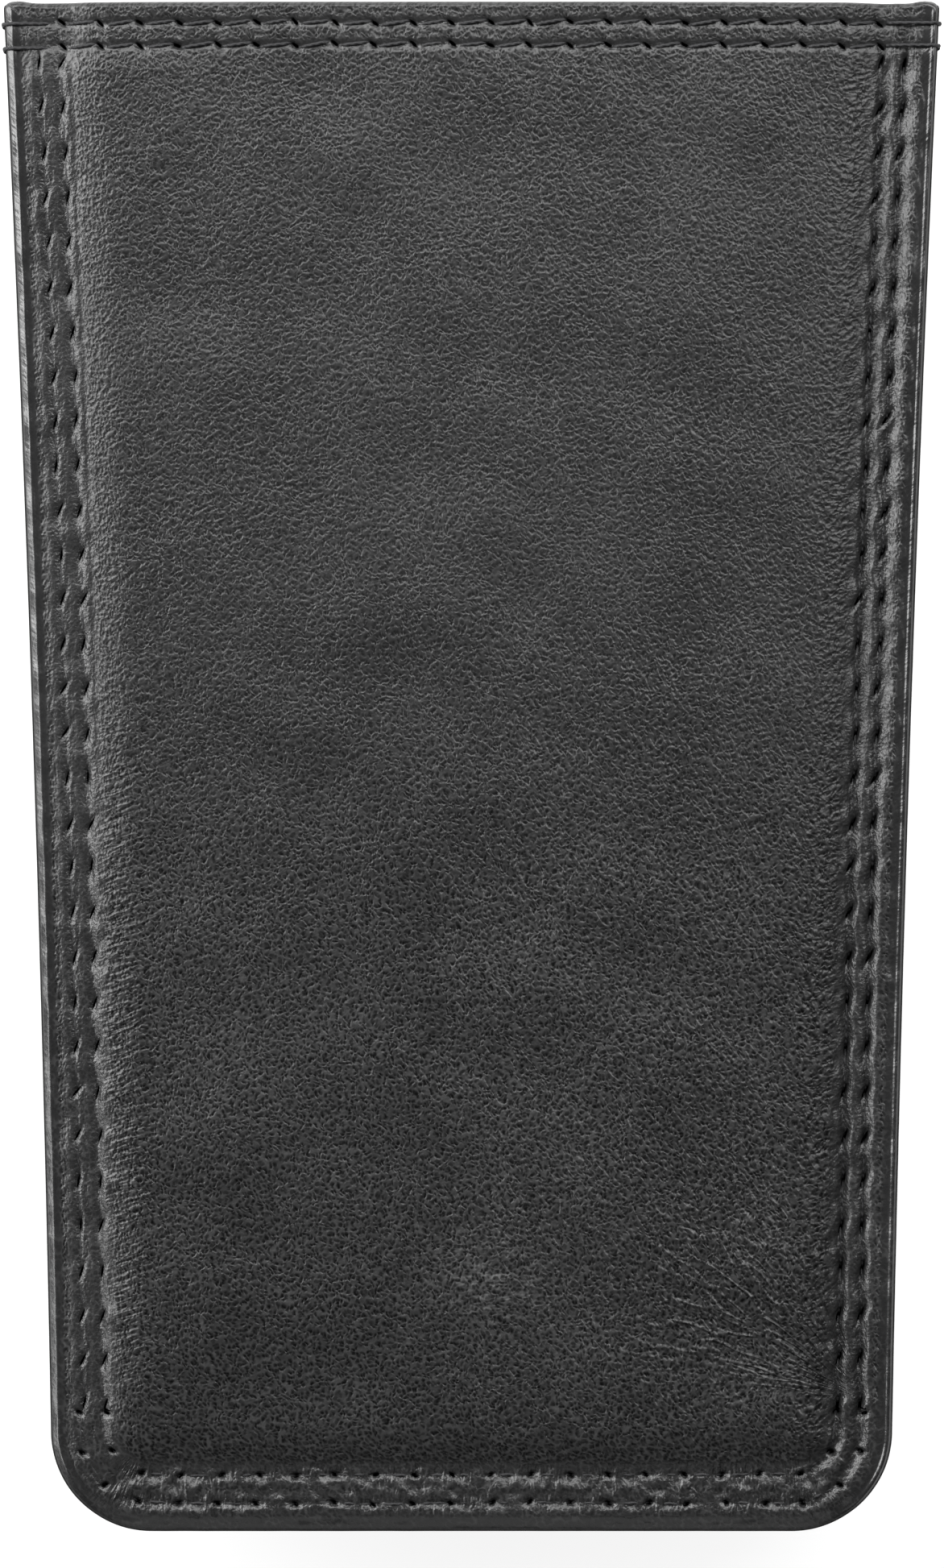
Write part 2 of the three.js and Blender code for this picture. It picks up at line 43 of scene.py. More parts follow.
# The looks of a sewn leather key case. Lengths are in millimetres until a mesh is made.
MM = 0.001

# The case's form, as in its solids
LENGTH = 107.7
MOUTH_WIDTH = 66.0
BASE_WIDTH = 59.3
CORNER_RADIUS = 7.1
LATE_FLARE = 0.42
LEATHER = 1.2
PADDING = 0.8
LINING = 0.4
GLUE = 0.05
SEAM_WIDTH = 4.6
BACK_DEPTH = 6.55
BACK_SHOULDER = 6.0
FRONT_SHOULDER = (0.8, 3.0)  # rise and run
FRONT_SWELL = 1.0
PADDING_TAPER = 1.5
PADDING_INSET = 9.0
SWELL_RUN = 34.0
SWELL_ACROSS = 2.0
SWELL_ALONG = 2.6
MOUTH_EASE = 0.12
MOUTH_EASE_RUN = 38.0
LIP = 0.6
LIP_DROP = 1.0
FOLD = 1.2
HEM = 8.0
HEM_GAP = 0.3
HEM_INSET = 1.25

MOUTH_Y = LENGTH / 2
BASE_Y = -LENGTH / 2
CORNER_Y = BASE_Y + CORNER_RADIUS
CORNER_X = BASE_WIDTH / 2 - CORNER_RADIUS
FLANGE_TOP = BACK_DEPTH + 2 * (LEATHER + LINING) + 3 * GLUE
FLANGE_MIDDLE = (BACK_DEPTH + FLANGE_TOP) / 2
FLOOR_Z = LEATHER + PADDING + LINING + 2 * GLUE
HEM_Y = MOUTH_Y - HEM
LINING_Y = HEM_Y - HEM_GAP

# The margin, as heights at distances inwards from the edge: a painted bead along the edge, then the leather
# that stands up in pillows between the rows of stitches
BEAD = {
    "left": ((0, -0.5), (0.1, -0.36), (0.56, 0.0), (0.64, 0.01), (0.78, -0.05), (0.9, -0.05), (14.0, -0.1)),
    "right": ((0, -0.5), (0.1, -0.3), (0.28, -0.02), (0.36, 0.02), (0.56, -0.14), (0.8, -0.14), (14.0, -0.1)),
    "base": ((0, -0.75), (0.1, -0.55), (0.4, -0.38), (1.2, -0.12), (1.5, -0.08), (14.0, -0.1)),
}
FRONT_PILLOWS = {
    "left": (
        (0.95, 0), (1.37, 0.07), (1.7, 0.19), (1.9, 0.24), (2.1, 0.22), (2.2, 0.2), (2.35, 0.2),
        (2.55, 0.27), (2.9, 0.29), (3.25, 0.37), (3.4, 0.37), (3.55, 0.34), (3.7, 0.34), (4.0, 0.49),
        (4.3, 0.6), (4.7, 0.66), (6.0, 0.52), (7.6, 0.46), (10.0, 0.36), (20.0, 0.0),
    ),
    "right": (
        (0.75, 0), (1.0, 0.08), (1.15, 0.08), (1.37, 0.03), (1.53, -0.05), (1.7, -0.15), (1.9, -0.3),
        (2.08, -0.4), (2.35, -0.4), (2.8, -0.1), (2.93, -0.11), (3.07, -0.18), (3.24, -0.3), (3.42, -0.43),
        (3.58, -0.48), (3.85, -0.48), (4.25, -0.1), (4.6, 0.02), (5.2, -0.02), (6.0, 0.0),
    ),
    "right_low": (
        (0.75, 0), (1.0, 0.06), (1.2, 0.05), (1.74, 0.02), (1.82, 0.0), (2.26, -0.36), (2.45, -0.37),
        (2.85, -0.08), (3.1, -0.04), (3.28, -0.05), (3.36, -0.07), (3.8, -0.43), (4.0, -0.43), (4.4, -0.08),
        (4.7, 0.02), (5.2, -0.02), (6.0, 0.0),
    ),
    "base": (
        (0.9, 0), (1.15, 0.05), (1.35, 0.05), (1.9, -0.06), (2.15, -0.06), (2.4, 0.03), (2.9, 0.07),
        (3.2, 0.06), (3.9, -0.07), (4.2, -0.06), (4.6, 0.03), (5.2, 0.0),
    ),
}
BACK_PILLOWS = {name: FRONT_PILLOWS["base" if name == "base" else "right"] for name in FRONT_PILLOWS}
LEFT_LOW = ((3.7, 0), (4.6, 0.22), (7.6, -0.12), (12.0, 0))  # makes the left pillow narrower below the middle
LEFT_LOW_FADE = (12.0, 24.0)  # the height below which it begins, and the length that the change takes
RIGHT_LOW_FADE = (6.0, 16.0)
MOUTH_PILLOWS = 0.4  # the share of the pillows that is left at the mouth
SCALLOP = 0.09  # how far the pillows give way at a stitch
MARGIN_STEP = 0.01
MARGIN_REACH = 21.0
MARGIN_SOFTNESS = 0.1
PAINT_END = 1.0
PAINT_FADE = 0.2
# The outermost strip of the edge, which the material paints darker as shade, and its fade
SHADED_RIM = 0.1
RIM_FADE = 0.08
LEFT_FOLDS = 0.6  # how much of the right edge's small folds the left edge has
MOUTH_CORNER_RADIUS = 0.5
MOUTH_CORNER_RISE = 0.17

# Small uneven relief, as its height and the length of its waves
UNEVEN_MARGIN = (0.03, 2.6)
UNEVEN_PANEL = (0.05, 11.0)
UNEVEN_GRAIN = (0.02, 4.5)
UNEVEN_BACK = (0.02, 6.0)
BASE_PUCKERS = (0.05, 1.2)
PULLED_FOLDS = (0.035, 1.7)

# The seams
THREAD_RADIUS = 0.13
SIDE_ROWS = {"outer": 2.4, "inner": 3.9}
BASE_ROWS = {"outer": 2.0, "inner": 4.0}
MOUTH_ROWS = {"upper": 1.5, "lower": 3.1}
SIDE_PITCH = 3.12
BASE_PITCH = 2.75
MOUTH_PITCH = 2.74
SIDE_TOP_Y = MOUTH_Y - 4.3
SIDE_END_Y = BASE_Y + 9.0
BASE_ROW_TOP_Y = BASE_Y + 8.3
MOUTH_ROW_SPAN = 28.8
BOBBIN_SPAN = 24.0

# The key strap, its rivet and the ring
RIVET_Y = BASE_Y + 17.7
RIVET_POST_RADIUS = 1.3
RIVET_HEAD_RADIUS = 3.5
RIVET_BASE = 0.5
RIVET_CAP = 1.45
RUNNING_GAP = 0.35
STRAP_WIDTH = 9.0
STRAP_LAYER = 0.8
STRAP_SLIT = 0.3
STRAP_TAIL = 5.0
STRAP_Z = FLOOR_Z + 0.1
RING_Y = MOUTH_Y - 26.0
RING_RADIUS = 10.5
RING_WIRE = (1.8, 0.8)
RING_TURN_PITCH = 1.25
RING_END_ANGLE = 0.45
RING_STEP_ANGLE = 0.35
EYE_HEIGHT = RING_TURN_PITCH + RING_WIRE[1] + 2 * RUNNING_GAP
RING_Z = STRAP_Z + STRAP_LAYER + EYE_HEIGHT / 2


def clamp01(value):
    return np.clip(value, 0.0, 1.0)


def smooth(value):
    value = clamp01(value)
    return value * value * (3 - 2 * value)


def mix(a, b, share):
    return a + (b - a) * share


def bell(a, b=0.0):
    """1 in the middle, falling to 0 in one direction or two."""
    return np.exp(-(a**2) - b**2)


# Small random forms, the same in every run

def waves(x, y, seed, length, count=14, stretch=1.0):
    """Smooth random relief of about unit size. stretch makes it longer along Y."""
    rng = np.random.default_rng(seed)
    total = np.zeros_like(x)
    for _ in range(count):
        angle = rng.uniform(0, 2 * math.pi)
        turn = 2 * math.pi / (length * rng.uniform(0.7, 1.5))
        phase = rng.uniform(0, 2 * math.pi)
        total += np.sin(turn * (x * math.cos(angle) + y / stretch * math.sin(angle)) + phase)
    return total / math.sqrt(count / 2)


# Form: outline and heights of the layers

def half_width(y):
    height = clamp01((y - CORNER_Y) / (MOUTH_Y - CORNER_Y))
    widening = (1 - LATE_FLARE) * height + LATE_FLARE * height**2
    return mix(BASE_WIDTH, MOUTH_WIDTH, widening) / 2


def edge_distance(x, y):
    side = half_width(y) - np.abs(x)
    end = y - BASE_Y
    corner = CORNER_RADIUS - np.hypot(CORNER_RADIUS - side, CORNER_RADIUS - end)
    in_corner = (side < CORNER_RADIUS) & (end < CORNER_RADIUS)
    return np.where(in_corner, corner, np.minimum(side, end))


def along_base(x, y):
    """1 along the closed end, 0 along the sides."""
    return smooth((half_width(y) - np.abs(x) - y + BASE_Y) / CORNER_RADIUS + 0.5)


def margin_line(points):
    """Heights at even steps inwards from the edge, through points whose corners are rounded."""
    edge = np.arange(0, MARGIN_REACH, MARGIN_STEP)
    line = np.interp(edge, *zip(*points))
    half = round(MARGIN_SOFTNESS / MARGIN_STEP / 2)
    kernel = np.full(2 * half + 1, 1 / (2 * half + 1))
    for _ in range(2):
        line = np.convolve(np.pad(line, half, mode="edge"), kernel, mode="valid")
    return lambda distance: np.interp(distance, edge, line)


BEAD_LINES = {name: margin_line(points) for name, points in BEAD.items()}
FRONT_PILLOW_LINES = {name: margin_line(points) for name, points in FRONT_PILLOWS.items()}
BACK_PILLOW_LINES = {name: margin_line(points) for name, points in BACK_PILLOWS.items()}
LEFT_LOW_LINE = margin_line(LEFT_LOW)


def rounded(distance):
    """Drop of a quarter circle, from 1 at the edge to 0 at a distance of 1."""
    return 1 - np.sqrt(1 - clamp01(1 - distance) ** 2)


def below(y, fade):
    """0 above a height, 1 where the change below it is done."""
    return smooth((fade[0] - y) / fade[1])


def around(lines, x, y, side_shift=0.0, base_shift=0.0, base_share=1.0):
    """A margin's height, from the lines of its left and right side and of the closed end."""
    edge = edge_distance(x, y)
    right = lines["right"](edge + side_shift)
    if "right_low" in lines:
        right = mix(right, lines["right_low"](edge + side_shift), below(y, RIGHT_LOW_FADE))
    sides = np.where(x < 0, lines["left"](edge - side_shift), right)
    return mix(sides, base_share * lines["base"](edge + base_shift), along_base(x, y))


def edge_drop(x, y):
    return np.maximum(-around(BEAD_LINES, x, y), LIP_DROP * rounded((MOUTH_Y - y) / LIP))


def pillows(lines, x, y, seed):
    """The raised margin between the edge, the rows of stitches and the swell. It gives way at each stitch."""
    near_mouth = smooth((y - MOUTH_Y + MOUTH_ROWS["lower"]) / 3 + 0.7)
    rise, length = UNEVEN_MARGIN
    uneven = rise * waves(x, y, seed, length) * (1 - smooth((edge_distance(x, y) - SEAM_WIDTH) / 2 + 0.5))
    loose = SCALLOP * (1 + 0.5 * waves(x, y, seed + 1, 4.0))
    side_shift = loose * np.cos(2 * math.pi * (SIDE_TOP_Y - y) / SIDE_PITCH)
    base_shift = loose * np.cos(2 * math.pi * base_run(x, y, BASE_ROWS["outer"]) / BASE_PITCH)
    lumps = np.clip(0.65 + 0.6 * waves(x, y, seed + 2, 1.6), 0.1, 1.5)
    height = around(lines, x, y, side_shift, base_shift, lumps) + uneven
    return height * mix(1, MOUTH_PILLOWS, near_mouth)


def base_puckers(x, y):
    """Small lumps among the rows of the closed end."""
    rise, length = BASE_PUCKERS
    off = edge_distance(x, y) - (BASE_ROWS["outer"] + BASE_ROWS["inner"]) / 2
    return rise * along_base(x, y) * np.exp(-((off / 1.7) ** 4)) * waves(x, y, 31, length)


def left_low(x, y):
    low = below(y, LEFT_LOW_FADE) * (1 - along_base(x, y))
    return np.where(x < 0, LEFT_LOW_LINE(edge_distance(x, y)), 0) * low


def swell(x, y):
    rise, shoulder_run = FRONT_SHOULDER
    shoulder = rise * (1 - (1 - clamp01((edge_distance(x, y) - SEAM_WIDTH) / shoulder_run)) ** 2)
    across = clamp01(np.abs(x) / (half_width(y) - SEAM_WIDTH))
    along = clamp01((y - BASE_Y - SEAM_WIDTH) / SWELL_RUN)
    ease = 1 - MOUTH_EASE * smooth((y - MOUTH_Y) / MOUTH_EASE_RUN + 1)
    return shoulder + FRONT_SWELL * (1 - across**SWELL_ACROSS) * (1 - (1 - along) ** SWELL_ALONG) * ease


def front_level(x, y):
    return FLANGE_TOP + swell(x, y)


def hollow(x, y):
    """Height of the back over the table: its middle lies flat, its margin stands clear."""
    return BACK_DEPTH * (1 - smooth((edge_distance(x, y) - SEAM_WIDTH) / BACK_SHOULDER))


def padding_room(x, y):
    return GLUE + (PADDING + GLUE) * smooth(swell(x, y) / PADDING_TAPER)


# Seams: each row knows its needle holes and how it presses the leather. A style gives
# groove: depth and half width
# hole: depth, half length and half width
# lip, beside a hole: height, offset, half width and half length
# ridge, beside the row: height, offset, half width and least share
# lift, dive and slip of the thread over the leather, into a hole and from its middle
# reach of the puckers

LEFT_STYLE = SimpleNamespace(
    groove=(0.06, 0.12), hole=(0.35, 0.68, 0.1), lip=(0.04, -0.34, 0.2, 0.5),
    ridge=(0.03, 0.62, 0.27, 0.3), lift=-0.16, dive=0.7, slip=(0.0, 0.0), reach=0.9,
)
RIGHT_STYLE = SimpleNamespace(**{**vars(LEFT_STYLE), "groove": (0.08, 0.13), "hole": (0.5, 0.7, 0.14)})
MOUTH_STYLE = SimpleNamespace(
    groove=(0.1, 0.26), hole=(0.42, 0.46, 0.15), lip=(0.12, 0.32, 0.18, 0.34),
    ridge=(0.0, 0.5, 0.3, 0.5), lift=-0.03, dive=0.45, slip=(0.27, 0.16), reach=0.35,
)
BASE_STYLE = SimpleNamespace(
    groove=(0.03, 0.15), hole=(0.5, 0.3, 0.17), lip=(0.05, 0.30, 0.16, 0.3),
    ridge=(0.055, 0.5, 0.28, 0.1), lift=-0.12, dive=0.6, slip=(0.0, 0.0), reach=0.9,
)
HOLE_SLANT = {"side": math.radians(72), "base": math.radians(25), "mouth": math.radians(-35)}
SLANT_SCATTER = {"side": 0.12, "base": 0.15, "mouth": 0.1}
HOLE_SCATTER = (0.07, 0.05)  # along the row and across it


def base_point(run, inset):
    """Place on the U of the closed end, by its signed run from the middle."""
    radius = CORNER_RADIUS - inset
    far = np.abs(run) - CORNER_X
    angle = np.clip(far / radius, 0, math.pi / 2)
    up = np.maximum(far - radius * math.pi / 2, 0)
    y = CORNER_Y - radius * np.cos(angle) + up
    bend_x = np.minimum(np.abs(run), CORNER_X) + radius * np.sin(angle)
    x = np.where(up > 0, half_width(y) - inset, bend_x)
    return np.sign(run) * x, y


def base_run(x, y, inset):
    """Signed run along that U of the place nearest to a point."""
    radius = CORNER_RADIUS - inset
    across = np.abs(x) - CORNER_X
    angle = np.arctan2(np.maximum(across, 0), np.maximum(CORNER_Y - y, 1e-6))
    up = np.maximum(y - CORNER_Y, 0)
    bend = np.where(across > 0, CORNER_X + radius * angle, np.abs(x))
    return np.sign(x) * np.where(up > 0, CORNER_X + radius * math.pi / 2 + up, bend)


def make_row(kind, inset, hand, seed):
    """A row of stitches. Its coordinates are the stitch number along it and the distance across it."""
    rng = np.random.default_rng(seed)
    half_base = CORNER_X + (CORNER_RADIUS - inset) * math.pi / 2 + BASE_ROW_TOP_Y - CORNER_Y
    length, pitch, style = {
        "side": (SIDE_TOP_Y - SIDE_END_Y, SIDE_PITCH, LEFT_STYLE if hand < 0 else RIGHT_STYLE),
        "base": (2 * half_base, BASE_PITCH, BASE_STYLE),
        "mouth": (2 * MOUTH_ROW_SPAN, MOUTH_PITCH, MOUTH_STYLE),
    }[kind]
    count = round(length / pitch)
    along = np.linspace(0, length, count + 1) + rng.normal(0, HOLE_SCATTER[0], count + 1)
    off = rng.normal(0, HOLE_SCATTER[1], count + 1)
    if kind == "side":
        x, y = hand * (half_width(SIDE_TOP_Y - along) - inset) + off, SIDE_TOP_Y - along
    elif kind == "base":
        x, y = base_point(along - half_base, inset + off)
    else:
        x, y = along - MOUTH_ROW_SPAN, MOUTH_Y - inset + off
    ways = rng.choice([-1, 1], count + 1) if kind == "base" else 1
    return SimpleNamespace(
        kind=kind, inset=inset, hand=hand, length=length, count=count, holes=np.stack([x, y], 1),
        angles=HOLE_SLANT[kind] * ways + rng.normal(0, SLANT_SCATTER[kind], count + 1),
        fullness=rng.uniform(0.6, 1.4, count + 1), style=style,
    )


def row_coordinates(row, x, y):
    if row.kind == "side":
        step = (SIDE_TOP_Y - y) / row.length
        across = np.where(x * row.hand > 0, x - row.hand * (half_width(y) - row.inset), 99.0)
    elif row.kind == "base":
        step = base_run(x, y, row.inset) / row.length + 0.5
        across = row.inset - edge_distance(x, y)
    else:
        step = x / row.length + 0.5
        across = y - (MOUTH_Y - row.inset)
    return step * row.count, across


def row_ends(row, step):
    """1 along the row, 0 past its ends. A mouth row runs on over both edges."""
    if row.kind == "mouth":
        return np.ones_like(step)
    return smooth(2 * step + 1) * smooth(2 * (row.count - step) + 1)


def needle_place(row, step, x, y):
    """The number of the nearest needle hole, and the place in that hole's own slanted axes."""
    nearest = np.clip(np.rint(step), 0, row.count).astype(int)
    dx = x - row.holes[nearest, 0]
    dy = y - row.holes[nearest, 1]
    cos, sin = np.cos(row.angles[nearest]), np.sin(row.angles[nearest])
    return nearest, dx * cos + dy * sin, dy * cos - dx * sin


def row_relief(row, x, y):
    step, across = row_coordinates(row, x, y)
    style = row.style
    nearest, along, off = needle_place(row, step, x, y)
    holes = bell(along / style.hole[1], off / style.hole[2])
    lip = bell((off - style.lip[1]) / style.lip[2], along / style.lip[3])
    groove = bell(across / style.groove[1])
    stitch = np.clip(np.floor(step), 0, row.count).astype(int)
    bulge = style.ridge[3] + (1 - style.ridge[3]) * np.sin(math.pi * step) ** 2
    if row.kind == "base":
        bulge = bulge * np.clip(0.5 + 0.7 * waves(step * BASE_PITCH, 0.4 * across, 33, 1.0), 0, 1.6)
    ridge = bell((across - style.ridge[1]) / style.ridge[2]) * bulge * row.fullness[stitch]
    pressed = row_ends(row, step) * (style.ridge[0] * ridge - style.groove[0] * groove)
    return pressed + style.lip[0] * lip * row.fullness[nearest] - style.hole[0] * holes


def slit_place(rows, names, x, y):
    """Place along and across the nearest hole of some rows, in half lengths and half widths of the hole."""
    least, place_along, place_off = np.full_like(x, np.inf), np.zeros_like(x), np.zeros_like(x)
    for name, row in rows.items():
        if name.split("_")[1] not in names:
            continue
        _, along, off = needle_place(row, row_coordinates(row, x, y)[0], x, y)
        away = np.hypot(along, off)
        place_along = np.where(away < least, np.abs(along) / row.style.hole[1], place_along)
        place_off = np.where(away < least, off / row.style.hole[2], place_off)
        least = np.minimum(least, away)
    return place_along, place_off


def make_rows(seed):
    rows = {}
    groups = (
        (SIDE_ROWS, (("left", "side", -1, 1), ("right", "side", 1, 2))),
        (BASE_ROWS, (("base", "base", 0, 3),)),
        (MOUTH_ROWS, (("mouth", "mouth", 0, 4),)),
    )
    for insets, places in groups:
        for name, inset in insets.items():
            for place, kind, hand, extra in places:
                rows[f"{place}_{name}"] = make_row(kind, inset, hand, seed + extra)
            seed += 10
    return rows


FRONT_ROWS = make_rows(100)
BACK_ROWS = make_rows(200)


def nearness(rows, x, y):
    """How near a place is to a row of stitches: 1 on it, falling to 0."""
    near = np.zeros_like(x)
    for row in rows.values():
        step, across = row_coordinates(row, x, y)
        near = np.maximum(near, row_ends(row, step) * bell(across / row.style.reach))
    return near


# The rubbed place over the rivet, and folds that the seams pull into the front
RUB = (1.6, -36.4)
RUB_RADII = (3.38, 2.6)
RUB_RISE = 0.16


def rub(x, y):
    return bell((x - RUB[0]) / RUB_RADII[0], (y - RUB[1]) / RUB_RADII[1])


def lower_half(y):
    """1 beside the lower half of the side seams, 0 elsewhere."""
    return smooth((8 - y) / 12) * smooth((y - BASE_Y - 8) / 5)


def pulls(x, y):
    """Small folds that run inwards from the side seams, most of them below the middle of the case."""
    rise, length = PULLED_FOLDS
    inward = half_width(y) - np.abs(x) - SIDE_ROWS["inner"]
    fade = smooth(inward / 0.6) * np.exp(-np.maximum(inward, 0) / 3.0)
    return rise * (fade * (0.3 + 0.7 * lower_half(y)) * waves(0.25 * x, y, 7, length, 10))


# Creases spread from the lower end of the right seam
FAN = (27.8, -44.5)
FAN_REACH = 24.0


def fanned(x, y):
    """Where those creases lie: up and to the left of their common point."""
    turn = np.degrees(np.arctan2(y - FAN[1], x - FAN[0]))
    away = np.hypot(x - FAN[0], y - FAN[1])
    between = smooth((turn - 100) / 15) * smooth((178 - turn) / 15)
    return between * smooth(away / 3) * smooth((FAN_REACH - away) / 14)


def pulled(x, y):
    """Where hair-fine wrinkles run inwards from the left seam, below the middle of the case."""
    inward = half_width(y) + x - SIDE_ROWS["inner"]
    return lower_half(y) * smooth(inward / 0.5) * (1 - smooth((inward - 1) / 5))


def front_relief(x, y):
    total = left_low(x, y) + base_puckers(x, y) + sum(row_relief(row, x, y) for row in FRONT_ROWS.values())
    inner = smooth((edge_distance(x, y) - SEAM_WIDTH) / 6)
    uneven = UNEVEN_PANEL[0] * waves(x, y, 11, UNEVEN_PANEL[1])
    uneven += UNEVEN_GRAIN[0] * waves(x, y, 12, UNEVEN_GRAIN[1], stretch=1.8)
    return total + inner * uneven + pulls(x, y) + RUB_RISE * rub(x, y)


def back_relief(x, y):
    total = sum(row_relief(row, x, y) for row in BACK_ROWS.values())
    return total + UNEVEN_BACK[0] * smooth(hollow(x, y)) * waves(x, y, 21, UNEVEN_BACK[1])


def make_face(name, sign, bed, rows, level, lines, seed, relief):
    """The heights of one panel's layers, from its sewn outer surface to the inside of its lining."""
    face = SimpleNamespace(name=name, sign=sign, bed=bed, rows=rows)
    face.plain = lambda x, y: level(x, y) - sign * edge_drop(x, y)
    face.sewn = lambda x, y: face.plain(x, y) + sign * pillows(lines, x, y, seed)
    face.outer = lambda x, y: face.sewn(x, y) + sign * relief(x, y)
    face.under = lambda x, y: level(x, y) - sign * LEATHER
    face.lining = lambda x, y: face.under(x, y) - sign * padding_room(x, y)
    face.inside = lambda x, y: face.lining(x, y) - sign * LINING
    return face


FRONT = make_face(
    "front", 1, "front_padding_felt", FRONT_ROWS, front_level, FRONT_PILLOW_LINES, 13, front_relief
)
BACK = make_face("back", -1, "back_board", BACK_ROWS, hollow, BACK_PILLOW_LINES, 23, back_relief)


# Meshes

class Mesh:
    """Points and faces of one piece. Faces are given as seen from the front, and turned for the back."""

    def __init__(self):
        self.points = []
        self.faces = []
        self.count = 0

    def add(self, x, y, z):
        x, y, z = np.broadcast_arrays(np.asarray(x, float), y, z)
        self.points.append(np.stack([x, y, z], 1))
        self.count += len(x)
        return np.arange(self.count - len(x), self.count)

    def strip(self, outer, inner, turned=False):
        quads = np.stack([outer[:-1], outer[1:], inner[1:], inner[:-1]], 1)
        self.faces.extend((quads[:, ::-1] if turned else quads).tolist())

    def turns(self, lines, turned=False):
        """Joins closed lines, each to the next."""
        for first, second in zip(lines, lines[1:]):
            self.strip(closed(first), closed(second), turned)

    def reduce(self, outer, inner, turned=False):
        """Joins a fine line to one with fewer points."""
        factor = (len(outer) - 1) // (len(inner) - 1)
        half = factor // 2
        made = []
        for step in range(len(inner) - 1):
            fine = outer[step * factor : (step + 1) * factor + 1]
            a, b = inner[step], inner[step + 1]
            made += [(fine[i], fine[i + 1], a) for i in range(half)]
            made.append((fine[half], b, a))
            made += [(fine[i], fine[i + 1], b) for i in range(half, factor)]
        self.faces.extend([tuple(int(i) for i in (face[::-1] if turned else face)) for face in made])

    def object(self, name, material, turned=False, **values):
        points = np.concatenate(self.points)
        faces = [face[::-1] for face in self.faces] if turned else self.faces
        mesh = bpy.data.meshes.new(name)
        mesh.from_pydata((points * MM).tolist(), [], faces)
        mesh.polygons.foreach_set("use_smooth", [True] * len(mesh.polygons))
        for key, value in values.items():
            mesh.attributes.new(key, "FLOAT", "POINT").data.foreach_set("value", value.astype(np.float32))
        mesh.materials.append(material)
        piece = bpy.data.objects.new(name, mesh)
        bpy.context.scene.collection.objects.link(piece)
        return piece


def closed(line):
    return np.append(line, line[0])


def ends(lines, column):
    """One point of each line, as a line of its own."""
    return np.array([line[column] for line in lines])


def round_mouth_corners(x, y):
    """Takes the square corners of the mouth to quarter circles and lifts them a little."""
    a = np.maximum(MOUTH_CORNER_RADIUS - (half_width(y) - np.abs(x)), 0)
    b = np.maximum(MOUTH_CORNER_RADIUS - (MOUTH_Y - y), 0)
    share = np.maximum(a, b) / np.maximum(np.hypot(a, b), 1e-9)
    both = (a > 0) & (b > 0)
    shift_x = np.where(both, a * (1 - share), 0)
    shift_y = np.where(both, b * (1 - share), 0)
    near = bell((half_width(y) - np.abs(x) - 1.0) / 0.8) * smooth((y - MOUTH_Y) / 3 + 1)
    return x - np.sign(x) * shift_x, y - shift_y + MOUTH_CORNER_RISE * near


def ring(inset, steps, top):
    """A closed ring: down the left side, along the closed end, up the right side, back under the mouth."""
    radius = max(CORNER_RADIUS - inset, 0.5)
    bend_y = BASE_Y + inset + radius
    bend_x = half_width(bend_y) - inset - radius
    side = np.linspace(top, bend_y, steps.side + 1)[:-1]
    angle = np.linspace(0, math.pi / 2, steps.corner + 1)[:-1]
    base = np.linspace(-bend_x, 0, steps.base // 2 + 1)
    x = np.concatenate([inset - half_width(side), -bend_x - radius * np.cos(angle), base])
    y = np.concatenate([side, bend_y - radius * np.sin(angle), np.full_like(base, BASE_Y + inset)])
    mouth = np.linspace(-x[0], x[0], steps.mouth + 1)[1:-1]
    return np.concatenate([x, -x[-2::-1], mouth]), np.concatenate([y, y[-2::-1], np.full_like(mouth, top)])


def divided(steps, factor):
    return SimpleNamespace(**{name: count // factor for name, count in vars(steps).items()})


def fill(mesh, line, x, y, steps, height, turned=False):
    """Fills a ring with a grid between its four sides."""
    rows, columns = steps.side + steps.corner // 2, steps.mouth
    row, column = np.arange(rows + 1), np.arange(columns + 1)
    top, bottom = (len(line) - column) % len(line), rows + column
    left, right = row, 2 * rows + columns - row
    u, v = column / columns, (row / rows)[:, None]
    inner = []
    for p in (x, y):
        edges = (1 - v) * p[top] + v * p[bottom] + (1 - u) * p[left][:, None] + u * p[right][:, None]
        upper_ends, lower_ends = mix(p[top[0]], p[top[-1]], u), mix(p[bottom[0]], p[bottom[-1]], u)
        inner.append((edges - mix(upper_ends, lower_ends, v))[1:-1, 1:-1].ravel())
    grid = np.zeros((rows + 1, columns + 1), int)
    grid[0], grid[-1], grid[:, 0], grid[:, -1] = line[top], line[bottom], line[left], line[right]
    grid[1:-1, 1:-1] = mesh.add(*inner, height(*inner)).reshape(rows - 1, columns - 1)
    for upper, lower in zip(grid[:-1], grid[1:]):
        mesh.strip(lower, upper, turned)


# Steps along a panel's sides, each corner, the closed end and the mouth, and the insets of its rings
FRONT.steps = SimpleNamespace(side=468, corner=60, base=204, mouth=264)
BACK.steps = SimpleNamespace(side=252, corner=36, base=132, mouth=168)
FRONT.insets = np.concatenate([
    [0, 0.04, 0.09, 0.15, 0.23, 0.33, 0.43, 0.5, 0.57, 0.64, 0.72, 0.82, 0.96, 1.1, 1.22, 1.34],
    np.linspace(1.48, 4.6, 25), [4.8, 5.1, 5.5],
])
BACK.insets = np.concatenate([
    [0, 0.08, 0.2, 0.36, 0.54, 0.75, 1.0, 1.15, 1.3],
    np.linspace(1.5, 4.6, 17), [5.0, 5.5],
])
FILL_INSET = 6.1
HIDDEN_RINGS = ((HEM_INSET, 0.2), (SEAM_WIDTH, 1.6), (FILL_INSET, 3.0))  # inset, and drop below the fold
LIP_ROWS = 4
HEM_ROWS = 6


